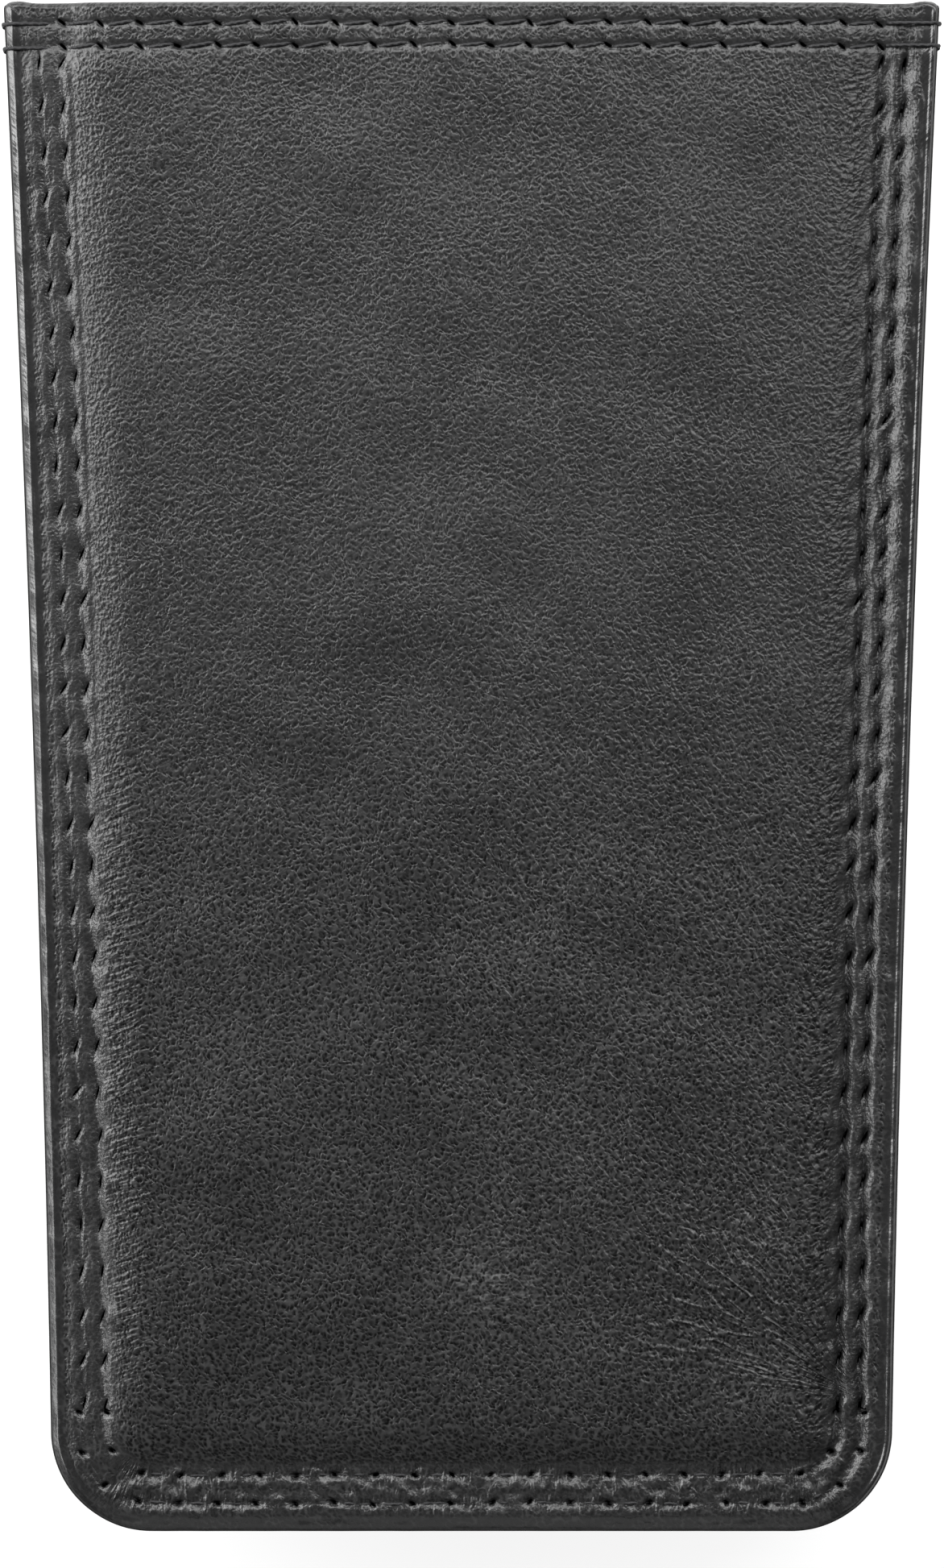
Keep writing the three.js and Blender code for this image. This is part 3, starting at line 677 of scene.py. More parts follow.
def outer_face(mesh, face):
    """Fine rings round the margin, and a coarser grid inside them. Returns the rings."""
    rings = []
    for inset in face.insets:
        x, y = ring(inset, face.steps, MOUTH_Y - inset)
        z = face.outer(x, y)
        rings.append(mesh.add(*round_mouth_corners(x, y), z))
    mesh.turns(rings)
    coarse = divided(face.steps, 3)
    x, y = ring(FILL_INSET, coarse, MOUTH_Y - FILL_INSET)
    line = mesh.add(x, y, face.outer(x, y))
    mesh.reduce(closed(rings[-1]), closed(line))
    fill(mesh, line, x, y, coarse, face.outer)
    return rings


def mouth_hem(mesh, face, edge):
    """The leather turned in at the mouth and the rim along the edge. Returns the rim's lower line."""
    count = face.steps.mouth
    total = len(edge)
    mouth = np.append(np.arange(total - count, total), 0)
    across = np.linspace(1, -1, count + 1)
    fold_y = MOUTH_Y - FOLD

    def hem_row(y, inset, height):
        x = across * (half_width(y) - inset)
        return mesh.add(x, y, height(x, y))

    visible = [edge[mouth]]
    for share in np.arange(1, LIP_ROWS + 1) / LIP_ROWS:
        low = math.sin(share * math.pi / 2)
        lip = lambda x, y: mix(face.plain(x, MOUTH_Y), face.inside(x, y), low)
        visible.append(hem_row(MOUTH_Y - LIP * rounded(1 - share), HEM_INSET * share, lip))
    for y in np.linspace(MOUTH_Y - LIP, HEM_Y, HEM_ROWS + 1)[1:]:
        visible.append(hem_row(y, HEM_INSET, face.inside))

    x, y = ring(0, face.steps, MOUTH_Y)
    z = np.full_like(x, FLANGE_MIDDLE + face.sign * GLUE)
    inner = mouth[1:-1]
    x[inner] = across[1:-1] * (half_width(fold_y) - HEM_INSET)
    y[inner] = fold_y
    z[inner] = face.under(x[inner], y[inner])
    under = mesh.add(*round_mouth_corners(x, y), z)
    hidden = [under[mouth]]
    for share in np.arange(1, LIP_ROWS + 1) / LIP_ROWS:
        level = lambda x, y: mix(face.under(x, y), face.lining(x, y), share)
        hidden.append(hem_row(fold_y, HEM_INSET, level))
    for y in np.linspace(fold_y, HEM_Y, HEM_ROWS + 1)[1:]:
        hidden.append(hem_row(y, HEM_INSET, face.lining))
    lines = visible + hidden[::-1]
    for inner, outer in zip(lines, lines[1:]):
        mesh.strip(outer, inner)
    for column, turned in ((-1, False), (0, True)):
        mesh.strip(ends(visible, column), ends(hidden, column), turned)
    sides = np.arange(total - count + 1)
    mesh.strip(under[sides], edge[sides])
    return under


def hidden_face(mesh, face, previous):
    """The face that lies on the other layers, from the rim's lower line inwards."""
    coarser = divided(face.steps, 6)
    for inset, drop in HIDDEN_RINGS:
        x, y = ring(inset, coarser, MOUTH_Y - FOLD - drop)
        line = mesh.add(x, y, face.under(x, y))
        join = mesh.reduce if inset == HEM_INSET else mesh.strip
        join(closed(previous), closed(line), True)
        previous = line
    fill(mesh, line, x, y, coarser, face.under, True)


def panel_values(mesh, face, rings, shown):
    """What the leather's material has to know at each point."""
    points = np.concatenate(mesh.points)
    x, y = points[:, 0], np.minimum(points[:, 1], MOUTH_Y)
    outside = np.arange(len(points)) < shown
    front = outside & (face.sign > 0)
    edge = edge_distance(x, y)
    with_rim = outside | (edge < HEM_INSET - GLUE)
    steps_x, steps_y = np.diff(ring(0, face.steps, MOUTH_Y))
    run = np.zeros(len(points))
    run[np.array(rings)] = np.append(0, np.cumsum(np.hypot(steps_x, steps_y)))
    return {
        "paint": np.where(with_rim, 1 - smooth((edge - PAINT_END) / PAINT_FADE), 0),
        # rim: the outermost strip of the edge, painted darker as shade by the material and made rougher
        "rim": np.where(with_rim, 1 - smooth((edge - SHADED_RIM) / RIM_FADE), 0),
        "pucker": np.where(outside, nearness(face.rows, x, y), 0),
        **dict(zip(("outer_along", "outer_off"), slit_place(face.rows, ("outer", "upper"), x, y))),
        **dict(zip(("inner_along", "inner_off"), slit_place(face.rows, ("inner", "lower"), x, y))),
        "run": run,
        "inset": np.minimum(edge, MOUTH_Y - y),
        "rubbed": np.where(front, rub(x, y), 0),
        "beads": (1 - along_base(x, y)) * np.where(x < 0, LEFT_FOLDS, 1.0),
        "spread": np.arctan2(y - FAN[1], x - FAN[0]),
        "away": np.hypot(x - FAN[0], y - FAN[1]),
        "fanned": np.where(front, fanned(x, y), 0),
        "pulled": np.where(front, pulled(x, y), 0),
        "slant_left": smooth((-x - 4) / 14) * smooth((y + 35) / 20),
        "slant_right": smooth((x + 12) / 18) * smooth((24 - y) / 34),
        "slant_steep": smooth((x + 16) / 16) * smooth((y + 16) / 24),
    }


def leather_panel(face, material):
    """One leather: its outer face, the turned-in mouth, the hidden face and the rim, all one closed skin."""
    mesh = Mesh()
    rings = outer_face(mesh, face)
    shown = mesh.count
    hidden_face(mesh, face, mouth_hem(mesh, face, rings[0]))
    values = panel_values(mesh, face, rings, shown)
    return mesh.object(f"{face.name}_leather", material, turned=face.sign < 0, **values)


# Stitches

TUBE_SIDES = 7
STITCH_POINTS = 12
BOBBIN_LIFT = 0.1
BOBBIN_DIVE = 0.25
WRAP_TILT = 0.1
WRAP_DIVE = 0.4
WRAP_BOW = (0.08, 0.12)  # how far the thread stands out from the edge, at its turn and beside it
WRAP_GAP = 0.02  # between its end and the middle of the seam
WRAP_SHARES = np.array([0.9, 0.7, 0.5, 0.3, 0.16, 0.09, 0.05, 0.02, 0.0])  # of the way from edge to last hole


def tube(mesh, path):
    """A closed round thread along a path of points."""
    along = np.gradient(path, axis=0)
    along /= np.linalg.norm(along, axis=1)[:, None]
    reference = np.array([0.0, 0.0, 1.0]) if abs(along[:, 2]).max() < 0.95 else np.array([0.0, 1.0, 0.0])
    side = np.cross(along, reference)
    side /= np.linalg.norm(side, axis=1)[:, None]
    up = np.cross(side, along)
    angle = 2 * math.pi * np.arange(TUBE_SIDES) / TUBE_SIDES
    circles = []
    for point, s, u in zip(path, side, up):
        circle = point + THREAD_RADIUS * (np.cos(angle)[:, None] * s + np.sin(angle)[:, None] * u)
        circles.append(mesh.add(*circle.T))
    mesh.turns(circles[::-1])
    mesh.faces.append(circles[0].tolist())
    mesh.faces.append(circles[-1][::-1].tolist())


def stitch_path(start, end, height, sign, lift, dive):
    """From one needle hole over the leather to the next."""
    t = np.linspace(0, 1, STITCH_POINTS)
    x = mix(start[0], end[0], t)
    y = mix(start[1], end[1], t)
    over = 1 - np.abs(2 * t - 1) ** 3.5
    return np.stack([x, y, height(x, y) + sign * mix(-dive, lift, over)], 1)


def wrap_path(face, row, hand):
    """The end of a mouth row: from its last hole over the margin and round the edge to the middle."""
    last = row.holes[-1 if hand > 0 else 0]
    y = last[1] + WRAP_TILT * hand
    width = half_width(y)
    x = hand * (width - WRAP_SHARES * (width - abs(last[0])))
    z = face.plain(x, y) + face.sign * 0.4 * THREAD_RADIUS
    z[0] -= face.sign * WRAP_DIVE
    x[-1] += hand * WRAP_BOW[0]
    z[-1] -= face.sign * WRAP_BOW[1]
    x = np.append(x, [hand * (width + WRAP_BOW[1])] * 2)
    z = np.append(z, mix(z[-1], FLANGE_MIDDLE + face.sign * WRAP_GAP, np.array([0.5, 1])))
    return np.stack([x, np.full_like(x, y), z], 1)


def dress(piece, body, node):
    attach(piece, body)
    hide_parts(node)
    return piece


def sew(mesh, name, material):
    dress(mesh.object(f"{name}_stitches", material), "case", f"{name}_thread")


def stitch_row(face, row, name, material):
    mesh = Mesh()
    along, off = row.style.slip
    for first, second in zip(row.holes, row.holes[1:]):
        start = (first[0] + along, first[1] - off)
        end = (second[0] - along, second[1] + off)
        tube(mesh, stitch_path(start, end, face.sewn, face.sign, row.style.lift, row.style.dive))
    if row.kind == "mouth":
        for hand in (-1, 1):
            tube(mesh, wrap_path(face, row, hand))
    sew(mesh, name, material)


def bobbin_row(face, inset, name, material):
    """The stitches of a mouth row that show inside the mouth, on the turned-in leather."""
    mesh = Mesh()
    count = round(2 * BOBBIN_SPAN / MOUTH_PITCH)
    x = np.linspace(-BOBBIN_SPAN, BOBBIN_SPAN, count + 1)
    y = MOUTH_Y - inset
    for start, end in zip(x, x[1:]):
        tube(mesh, stitch_path((start, y), (end, y), face.inside, -face.sign, BOBBIN_LIFT, BOBBIN_DIVE))
    sew(mesh, name, material)


# Layers inside

LAYER_STEPS = SimpleNamespace(side=90, corner=12, base=42, mouth=54)
BOARD_INSETS = (PADDING_INSET, 9.75, 10.5, 11.25, 12.0)
LINING_INSETS = (HEM_INSET, 2.5, SEAM_WIDTH, 5.3, 6.2, 7.1, 8.0, *BOARD_INSETS)
BAND_POINTS = (61, 9)


def between(face):
    """Upper and lower height of what lies between a leather and its lining."""
    outer = lambda x, y: face.under(x, y) - face.sign * GLUE
    inner = lambda x, y: face.lining(x, y) + face.sign * GLUE
    return (outer, inner)[:: face.sign]


def layer(name, material, insets, upper, lower):
    """A closed thin layer between two heights, inside an inset of the outline and below the hem."""
    mesh = Mesh()
    edges = []
    for height, turned in ((upper, False), (lower, True)):
        rings = []
        for inset in insets:
            x, y = ring(inset, LAYER_STEPS, LINING_Y - (inset - insets[0]))
            rings.append(mesh.add(x, y, height(x, y)))
        mesh.turns(rings, turned)
        fill(mesh, rings[-1], x, y, LAYER_STEPS, height, turned)
        edges.append(closed(rings[0]))
    mesh.strip(edges[1], edges[0])
    return mesh.object(name, material)


def band(name, material, half, low_y, high_y, upper, lower):
    """A closed straight band across the case."""
    mesh = Mesh()
    x = np.linspace(-half, half, BAND_POINTS[0])
    up = np.linspace(low_y, high_y, BAND_POINTS[1])
    lines = [mesh.add(x, y, height(x, y)) for height, ys in ((upper, up), (lower, up[::-1])) for y in ys]
    for first, second in zip(lines, lines[1:] + lines[:1]):
        mesh.strip(first, second)
    for column, turned in ((0, False), (-1, True)):
        mesh.strip(ends(lines[: len(up)], column), ends(lines[len(up) :], column)[::-1], turned)
    return mesh.object(name, material)


# Metal pieces and the strap

LATHE_SIDES = 72
AXIS_RADIUS = 0.01
STRAP_TOP = STRAP_Z + 2 * STRAP_LAYER + STRAP_SLIT
RIVET_BASE_Z = LEATHER + 3 * GLUE
RIVET_CAP_Z = STRAP_TOP + 3 * GLUE
RIVET_CAP_TOP = RIVET_CAP_Z + RIVET_CAP
RIVET_RIM_Z = RIVET_CAP_Z + 0.45 * RIVET_CAP
RIVET_POST_TOP = RIVET_CAP_Z + RIVET_CAP / 2
RIVET_BORE = RIVET_POST_RADIUS + RUNNING_GAP
EDGE_BREAK = 0.12
STRAP_EDGE = (0.16, 0.3)  # how far a long edge is rounded, in height and width


def lathe(name, profile, material):
    """A profile of radius and height, turned about the rivet's axis."""
    mesh = Mesh()
    angle = 2 * math.pi * np.arange(LATHE_SIDES) / LATHE_SIDES
    lines = [mesh.add(r * np.cos(angle), RIVET_Y + r * np.sin(angle), z) for r, z in profile]
    mesh.turns(lines)
    mesh.faces.append(lines[0][::-1].tolist())
    mesh.faces.append(lines[-1].tolist())
    return mesh.object(name, material)


def arc(centre, radius, start, end, count):
    angle = np.radians(np.linspace(start, end, count))
    return [(centre[0] + radius * math.cos(a), centre[1] + radius * math.sin(a)) for a in angle]


def broken_edge(radius, z, start):
    """A quarter circle that rounds an outer edge, from an angle on."""
    inwards = EDGE_BREAK if start < 0 else -EDGE_BREAK
    return arc((radius - EDGE_BREAK, z + inwards), EDGE_BREAK, start, start + 90, 5)


def rivet(steel):
    base_top = RIVET_BASE_Z + RIVET_BASE
    post = [(AXIS_RADIUS, RIVET_BASE_Z)]
    post += broken_edge(RIVET_HEAD_RADIUS, RIVET_BASE_Z, -90)
    post += broken_edge(RIVET_HEAD_RADIUS, base_top, 0)
    post += [(RIVET_POST_RADIUS, base_top)]
    post += broken_edge(RIVET_POST_RADIUS, RIVET_POST_TOP, 0)
    post += [(AXIS_RADIUS, RIVET_POST_TOP)]
    dress(lathe("rivet_shank", post, steel), "case", "rivet_post")
    bore_top = RIVET_POST_TOP + RUNNING_GAP / 2
    cap = [(AXIS_RADIUS, bore_top), (RIVET_BORE, bore_top), (RIVET_BORE, RIVET_CAP_Z)]
    cap += broken_edge(RIVET_HEAD_RADIUS, RIVET_CAP_Z, -90)
    rise = RIVET_CAP_TOP - RIVET_RIM_Z
    dome = np.radians(np.linspace(0, 88, 14))
    cap += [(RIVET_HEAD_RADIUS * math.cos(a), RIVET_RIM_Z + rise * math.sin(a)) for a in dome]
    cap += [(AXIS_RADIUS, RIVET_CAP_TOP)]
    dress(lathe("rivet_head", cap, steel), "case", "rivet_cap")


def strap_line(out):
    """The folded strip from its side, as (Y, Z): its inner face, or a line further out."""
    tail = RIVET_Y - STRAP_TAIL
    slit_low = STRAP_Z + STRAP_LAYER
    slit_high = slit_low + STRAP_SLIT
    nose = EYE_HEIGHT / 2
    wire_low = RING_Y - RING_RADIUS - RING_WIRE[0] / 2
    sagitta = RING_RADIUS - math.sqrt(RING_RADIUS**2 - (STRAP_WIDTH / 2) ** 2)
    nose_y = wire_low + RING_WIRE[0] + sagitta + RUNNING_GAP - nose / 2
    shoulder_y = wire_low - RUNNING_GAP
    ramp_y = shoulder_y - EYE_HEIGHT
    ramp = np.linspace(0, 1, 9)
    top = mix(RING_Z + nose, slit_high, smooth(ramp))
    line = [(y, slit_low - out) for y in np.linspace(tail, nose_y, 60)]
    line += arc((nose_y, RING_Z), nose + out, -80, 80, 17)
    line += [(nose_y, RING_Z + nose + out)]
    line += [(y, z + out) for y, z in zip(mix(shoulder_y, ramp_y, ramp), top)]
    line += [(y, slit_high + out) for y in np.linspace(ramp_y, tail, 50)[1:]]
    return np.array(line)


def key_strap(material):
    """The strip folded round the ring, with rounded long edges and a hole for the rivet."""
    mesh = Mesh()
    outer, inner = strap_line(STRAP_LAYER), strap_line(0)
    half = STRAP_WIDTH / 2
    margin = np.array([0, 0.06, 0.2])
    across = np.concatenate([margin - half, np.linspace(0.5 - half, half - 0.5, 15), half - margin[::-1]])
    pinch = STRAP_EDGE[0] * rounded((half - np.abs(across)) / STRAP_EDGE[1])
    middle = (outer + inner) / 2
    faces = []
    for line in (outer, inner):
        places = [mix(line, middle, share / (STRAP_LAYER / 2)) for share in pinch]
        faces.append([mesh.add(np.full(len(line), x), *place.T) for x, place in zip(across, places)])
    for columns, turned in zip(faces, (False, True)):
        for first, second in zip(columns, columns[1:]):
            mesh.strip(second, first, turned)
    for end, turned in ((0, True), (-1, False)):
        mesh.strip(ends(faces[0], end), ends(faces[1], end), turned)
    for side, turned in ((0, False), (-1, True)):
        mesh.strip(faces[0][side], faces[1][side], turned)
    piece = mesh.object("key_strap_leather", material)
    pierce(piece, RIVET_BORE)
    dress(piece, "strap", "key_strap")


def pierce(piece, radius):
    """Cuts the rivet's hole through a piece."""
    bpy.ops.mesh.primitive_cylinder_add(
        vertices=48, radius=radius * MM, depth=4 * STRAP_TOP * MM, location=(0, RIVET_Y * MM, 0)
    )
    cutter = bpy.context.object
    modifier = piece.modifiers.new("hole", "BOOLEAN")
    modifier.operation = "DIFFERENCE"
    modifier.object = cutter
    cut = bpy.data.meshes.new_from_object(piece.evaluated_get(bpy.context.evaluated_depsgraph_get()))
    piece.modifiers.clear()
    piece.data = cut
    bpy.data.objects.remove(cutter)


def split_ring(steel):
    """Flat wire with rounded edges, wound twice round and stepping from one turn to the other."""
    mesh = Mesh()
    turn = 2 * math.pi
    angle = np.linspace(RING_END_ANGLE, 2 * turn - RING_END_ANGLE, 260)
    climb = smooth((angle - turn) / (2 * RING_STEP_ANGLE) + 0.5) - 0.5
    z = RING_Z + RING_TURN_PITCH * climb
    across, thick = RING_WIRE
    bow = np.linspace(0, turn, 28, endpoint=False)
    section_x = np.sign(np.cos(bow)) * np.abs(np.cos(bow)) ** 0.4 * across / 2
    section_z = np.sign(np.sin(bow)) * np.abs(np.sin(bow)) ** 0.4 * thick / 2
    to_end = np.minimum(np.arange(len(angle)), np.arange(len(angle))[::-1])
    taper = np.array([0.86, 0.95, 0.99, 1.0])[np.minimum(to_end, 3)]
    lines = []
    for a, level, size in zip(angle, z, taper):
        radius = RING_RADIUS + size * section_x
        lines.append(mesh.add(radius * math.cos(a), RING_Y + radius * math.sin(a), level + size * section_z))
    mesh.turns(lines)
    mesh.faces.append(lines[0].tolist()[::-1])
    mesh.faces.append(lines[-1].tolist())
    dress(mesh.object("split_ring", steel, turned=True), "ring", "key_ring")


# Materials

class Shader:
    """Builds one node material. Inputs are numbers, colours or the outputs of other nodes."""

    def __init__(self, name):
        self.material = bpy.data.materials.new(name)
        self.material.use_nodes = True
        self.tree = self.material.node_tree
        self.surface = self.tree.nodes["Principled BSDF"]
        place = self.add("ShaderNodeTexCoord")
        self.place = self.vector("SCALE", place.outputs["Object"], Scale=1 / MM)

    def add(self, kind, inputs=None, **settings):
        node = self.tree.nodes.new(kind)
        for key, value in settings.items():
            setattr(node, key, value)
        for key, value in (inputs or {}).items():
            self.put(node.inputs[key], value)
        return node

    def put(self, socket, value):
        if isinstance(value, bpy.types.NodeSocket):
            self.tree.links.new(value, socket)
        else:
            socket.default_value = value

    def set(self, **values):
        for key, value in values.items():
            self.put(self.surface.inputs[key.replace("_", " ")], value)

    def math(self, operation, a, b=0.0, c=0.0):
        return self.add("ShaderNodeMath", {0: a, 1: b, 2: c}, operation=operation).outputs[0]

    def times(self, a, b, plus=0.0):
        return self.math("MULTIPLY_ADD", a, b, plus)

    def rest(self, value):
        return self.math("SUBTRACT", 1.0, value)

    def centred(self, value):
        return self.math("SUBTRACT", value, 0.5)

    def vector(self, operation, a, b=(0.0, 0.0, 0.0), **named):
        return self.add("ShaderNodeVectorMath", {0: a, 1: b, **named}, operation=operation).outputs[0]

    def ramp(self, value, low, high, to_low=0.0, to_high=1.0):
        numbers = {"Value": value, "From Min": low, "From Max": high, "To Min": to_low, "To Max": to_high}
        return self.add("ShaderNodeMapRange", numbers, interpolation_type="SMOOTHSTEP").outputs["Result"]

    def noise(self, vector, scale, detail=2.0, distortion=0.0, output=0):
        inputs = {"Vector": vector, "Scale": scale, "Detail": detail, "Distortion": distortion}
        return self.add("ShaderNodeTexNoise", inputs).outputs[output]

    def drift(self, vector, scale, detail, reach):
        """Places moved a little by the colours of a noise."""
        way = self.vector("SUBTRACT", self.noise(vector, scale, detail, output=1), (0.5, 0.5, 0.5))
        return self.vector("ADD", vector, self.vector("SCALE", way, Scale=reach))

    def wave(self, vector, scale, direction="X", distortion=0.0):
        inputs = {"Vector": vector, "Scale": scale, "Distortion": distortion}
        return self.add("ShaderNodeTexWave", inputs, bands_direction=direction).outputs["Fac"]

    def cells(self, vector, scale):
        """Distance from the nearest of many scattered points, in the plane of X and Y."""
        inputs = {"Vector": vector, "Scale": scale}
        return self.add("ShaderNodeTexVoronoi", inputs, voronoi_dimensions="2D").outputs[0]

    def value(self, name):
        return self.add("ShaderNodeAttribute", attribute_name=name).outputs["Fac"]

    def pair(self, x, y):
        return self.add("ShaderNodeCombineXYZ", {"X": x, "Y": y}).outputs[0]

    def mapping(self, vector, angle, along, across, up=1.0):
        """Turns a direction onto X, then scales along it, across it and upwards."""
        sizes = (1 / along, 1 / across, 1 / up)
        inputs = {"Vector": vector, "Rotation": (0, 0, math.radians(angle)), "Scale": sizes}
        return self.add("ShaderNodeMapping", inputs, vector_type="TEXTURE").outputs[0]

    def strokes(self, vector, *lie):
        """Fine relief of short strokes that lie at an angle."""
        return self.centred(self.noise(self.mapping(vector, *lie), 1.0, 1.5))

    def creases(self, vector, *lie):
        """Thin raised lines, where a noise passes its middle."""
        away = self.math("ABSOLUTE", self.centred(self.noise(self.mapping(vector, *lie), 1.0, 1.0)))
        return self.ramp(away, 0.0, 0.07, 1.0, 0.0)

    def colour(self, factor, dark, light):
        inputs = {"Factor": factor, "A": (*dark, 1), "B": (*light, 1)}
        node = self.add("ShaderNodeMix", data_type="RGBA")
        for socket in node.inputs:
            if socket.enabled and socket.name in inputs:
                self.put(socket, inputs[socket.name])
        return [socket for socket in node.outputs if socket.enabled][0]

    def shade(self, colour, amount):
        """A colour that goes to black by an amount: painted shade."""
        return self.vector("SCALE", colour, Scale=self.rest(amount))

    def bump(self, height, depth):
        inputs = {"Height": height, "Distance": depth * MM, "Strength": 1.0}
        self.set(Normal=self.add("ShaderNodeBump", inputs).outputs["Normal"])

    def made(self, relief, depth, tone, dark, light, **values):
        """The finished material: its relief, a colour between two tones and further values."""
        self.bump(relief, depth)
        self.set(Base_Color=self.colour(tone, dark, light), **values)
        return self.material


# The leather's small forms: where they lie, their height, the angle of a direction, and how close they stand
# along and across it
STROKES = (
    ("slant_left", 0.38, (35, 1.6, 3.8)),
    ("slant_right", 0.45, (-64, 1.1, 3.4)),
    ("pulled", 1.2, (20, 0.5, 3.2)),
)
CREASES = (("slant_steep", 0.12, (-76, 0.22, 1.2)), ("slant_right", 0.2, (-64, 0.35, 1.1)))
FAN_CREASES = (("fanned", 0.6, (0, 9.0, 0.2)),)
PIT_LIE = (-75, 2.9, 3.6)
PIT_LEAN = 0.7
FOLD_LIE = (0, 3.2, 1.0)
SCUFF_LIE = (8, 0.9, 2.6)
GRAIN_DEPTH = 0.14
ROUGHNESS = {"rubbed": 0.1, "pucker": -0.05, "paint": -0.16, "rim": 0.5}  # added to the panel's own


def slits(shader):
    """1 inside a needle hole, 0 away from them all: where shade is painted into the holes."""
    holes = []
    for row in ("outer", "inner"):
        along, off = shader.value(f"{row}_along"), shader.value(f"{row}_off")
        away = shader.times(off, off, shader.times(along, along))
        holes.append(shader.ramp(away, 0.25, 1.1, 1.0, 0.0))
    return shader.math("MAXIMUM", *holes)


def leather_grain(shader, look):
    """The relief of the panel, fainter along the seams and the painted edge, which have folds instead."""
    times, ramp, value, place = shader.times, shader.ramp, shader.value, look.place
    pucker, paint, beads = value("pucker"), value("paint"), value("beads")
    grain = times(shader.centred(look.fine), 0.6)
    grain = times(shader.centred(look.pits), -0.22, grain)
    fan = shader.pair(value("spread"), value("away"))
    kinds = (
        (shader.strokes, place, STROKES),
        (shader.creases, place, CREASES),
        (shader.creases, fan, FAN_CREASES),
    )
    for form, vector, forms in kinds:
        for where, height, lie in forms:
            grain = times(form(vector, *lie), times(value(where), height), grain)
    grain = times(grain, ramp(pucker, 0.1, 0.6, 1.0, 0.35))
    grain = times(shader.centred(shader.noise(place, 5.0, 1.0)), times(pucker, 0.44), grain)
    grain = times(grain, ramp(paint, 0.0, 1.0, 1.0, 0.08))
    run = shader.pair(value("run"), value("inset"))
    folds = shader.centred(shader.noise(shader.mapping(run, *FOLD_LIE), 1.0, 1.0))
    loose = ramp(shader.noise(place, 0.3, 1.0), 0.4, 0.6, 0.6, 2.0)
    folded = times(times(pucker, loose), ramp(beads, 0.0, 0.5, 1.0, 0.1))
    return times(folds, times(times(paint, beads), 0.22, folded), grain)


def leather_roughness(shader, look):
    rough = shader.times(look.fine, 0.1, shader.ramp(look.patchy, 0.3, 0.7, 0.32, 0.38))
    for name, share in ROUGHNESS.items():
        rough = shader.times(shader.value(name), share, rough)
    return rough


def leather_colour(shader, look):
    """Nearly black, with lighter scuffs on the rubbed place and a faint lighter net between the pits, which
    is a painted highlight on the grain's ridges, stronger towards the closed end.
    """
    times, ramp = shader.times, shader.ramp
    scuffs = ramp(shader.noise(shader.mapping(look.place, *SCUFF_LIE), 1.0, 3.0), 0.5, 0.66)
    # Painted highlight on the grain's ridges between the pits, stronger towards the closed end
    painted_ridge_light = times(ramp(look.cells, 0.35, 0.75), ramp(look.height, -30.0, 10.0, 0.15, 0.04))
    painted_ridge_light = times(painted_ridge_light, ramp(shader.noise(look.place, 0.9, 2.0), 0.35, 0.65, 0.2, 1.5))
    tone = times(shader.value("rubbed"), scuffs, times(look.patchy, 0.08, painted_ridge_light))
    return shader.colour(tone, (0.011, 0.011, 0.0112), (0.08, 0.08, 0.08))


def painted_hollow_shade(shader, look):
    """Painted shade: how far the colour goes to black in the needle holes, in the grain's pits (more towards
    the closed end) and on the outermost rim.
    """
    times, ramp = shader.times, shader.ramp
    paint, rim = shader.value("paint"), shader.value("rim")
    pits = times(look.pits, ramp(look.fine, 0.3, 0.7, 1.0, 0.4))
    pits = times(pits, ramp(look.height, -14.0, 14.0, 0.85, 0.55))
    pits = times(pits, ramp(shader.value("pucker"), 0.1, 0.6, 1.0, 0.3))
    painted_shade = shader.math("MAXIMUM", slits(shader), pits)
    painted_shade = shader.math("MAXIMUM", painted_shade, times(rim, 0.7))
    return times(painted_shade, shader.rest(times(paint, shader.rest(rim))))


def black_leather():
    shader = Shader("black_leather")
    place = shader.drift(shader.place, 0.25, 2.0, 0.6)
    parts = shader.add("ShaderNodeSeparateXYZ", {"Vector": place}).outputs
    lean = shader.times(parts["Z"], PIT_LEAN)
    leaning = shader.vector("ADD", shader.drift(place, 1.5, 1.0, 0.5), shader.pair(lean, lean))
    cells = shader.cells(shader.mapping(leaning, *PIT_LIE), 1.0)
    look = SimpleNamespace(
        place=place, height=parts["Y"], cells=cells, pits=shader.ramp(cells, 0.12, 0.66, 1.0, 0.0),
        fine=shader.noise(place, 2.7, 1.0), patchy=shader.noise(shader.place, 0.09, 3.0),
    )
    shader.bump(leather_grain(shader, look), GRAIN_DEPTH)
    # Painted shade: the colour and the specular go darker in needle holes, in pits and on the rim
    painted_shade = painted_hollow_shade(shader, look)
    colour = shader.shade(leather_colour(shader, look), painted_shade)
    shader.set(Base_Color=colour, Roughness=leather_roughness(shader, look))
    shader.set(Specular_IOR_Level=shader.times(painted_shade, -0.5, 0.5))
    return shader.material


def strap_leather():
    shader = Shader("strap_leather")
    tone = shader.noise(shader.place, 0.25, 3.0)
    grain = shader.times(shader.cells(shader.place, 2.6), -0.6, shader.noise(shader.place, 4.0))
    rough = shader.ramp(tone, 0.3, 0.7, 0.4, 0.52)
    return shader.made(grain, 0.06, tone, (0.02, 0.02, 0.021), (0.04, 0.04, 0.041), Roughness=rough)


def twill(name, dark, light, scale, angle):
    """Diagonal ribs of a woven cloth, crossed by its threads."""
    shader = Shader(name)
    laid = shader.mapping(shader.place, angle, 1.0, 1.0)
    weave = shader.times(shader.wave(laid, 2 * scale, "Y"), 0.35, shader.wave(laid, scale, distortion=0.6))
    tone = shader.times(weave, shader.noise(shader.place, 1.2, 3.0))
    return shader.made(weave, 0.1, tone, dark, light, Roughness=0.85, Sheen_Weight=0.25)


def felt():
    shader = Shader("grey_felt")
    fibres = shader.noise(shader.mapping(shader.place, 30, 1.0, 4.0), 1.3, 4.0, 1.5)
    return shader.made(fibres, 0.15, fibres, (0.14, 0.137, 0.13), (0.26, 0.25, 0.24), Roughness=0.95)


def board():
    shader = Shader("fibre_board")
    fibres = shader.noise(shader.place, 2.5, 5.0, 0.8)
    return shader.made(fibres, 0.05, fibres, (0.22, 0.18, 0.13), (0.38, 0.32, 0.25), Roughness=0.8)


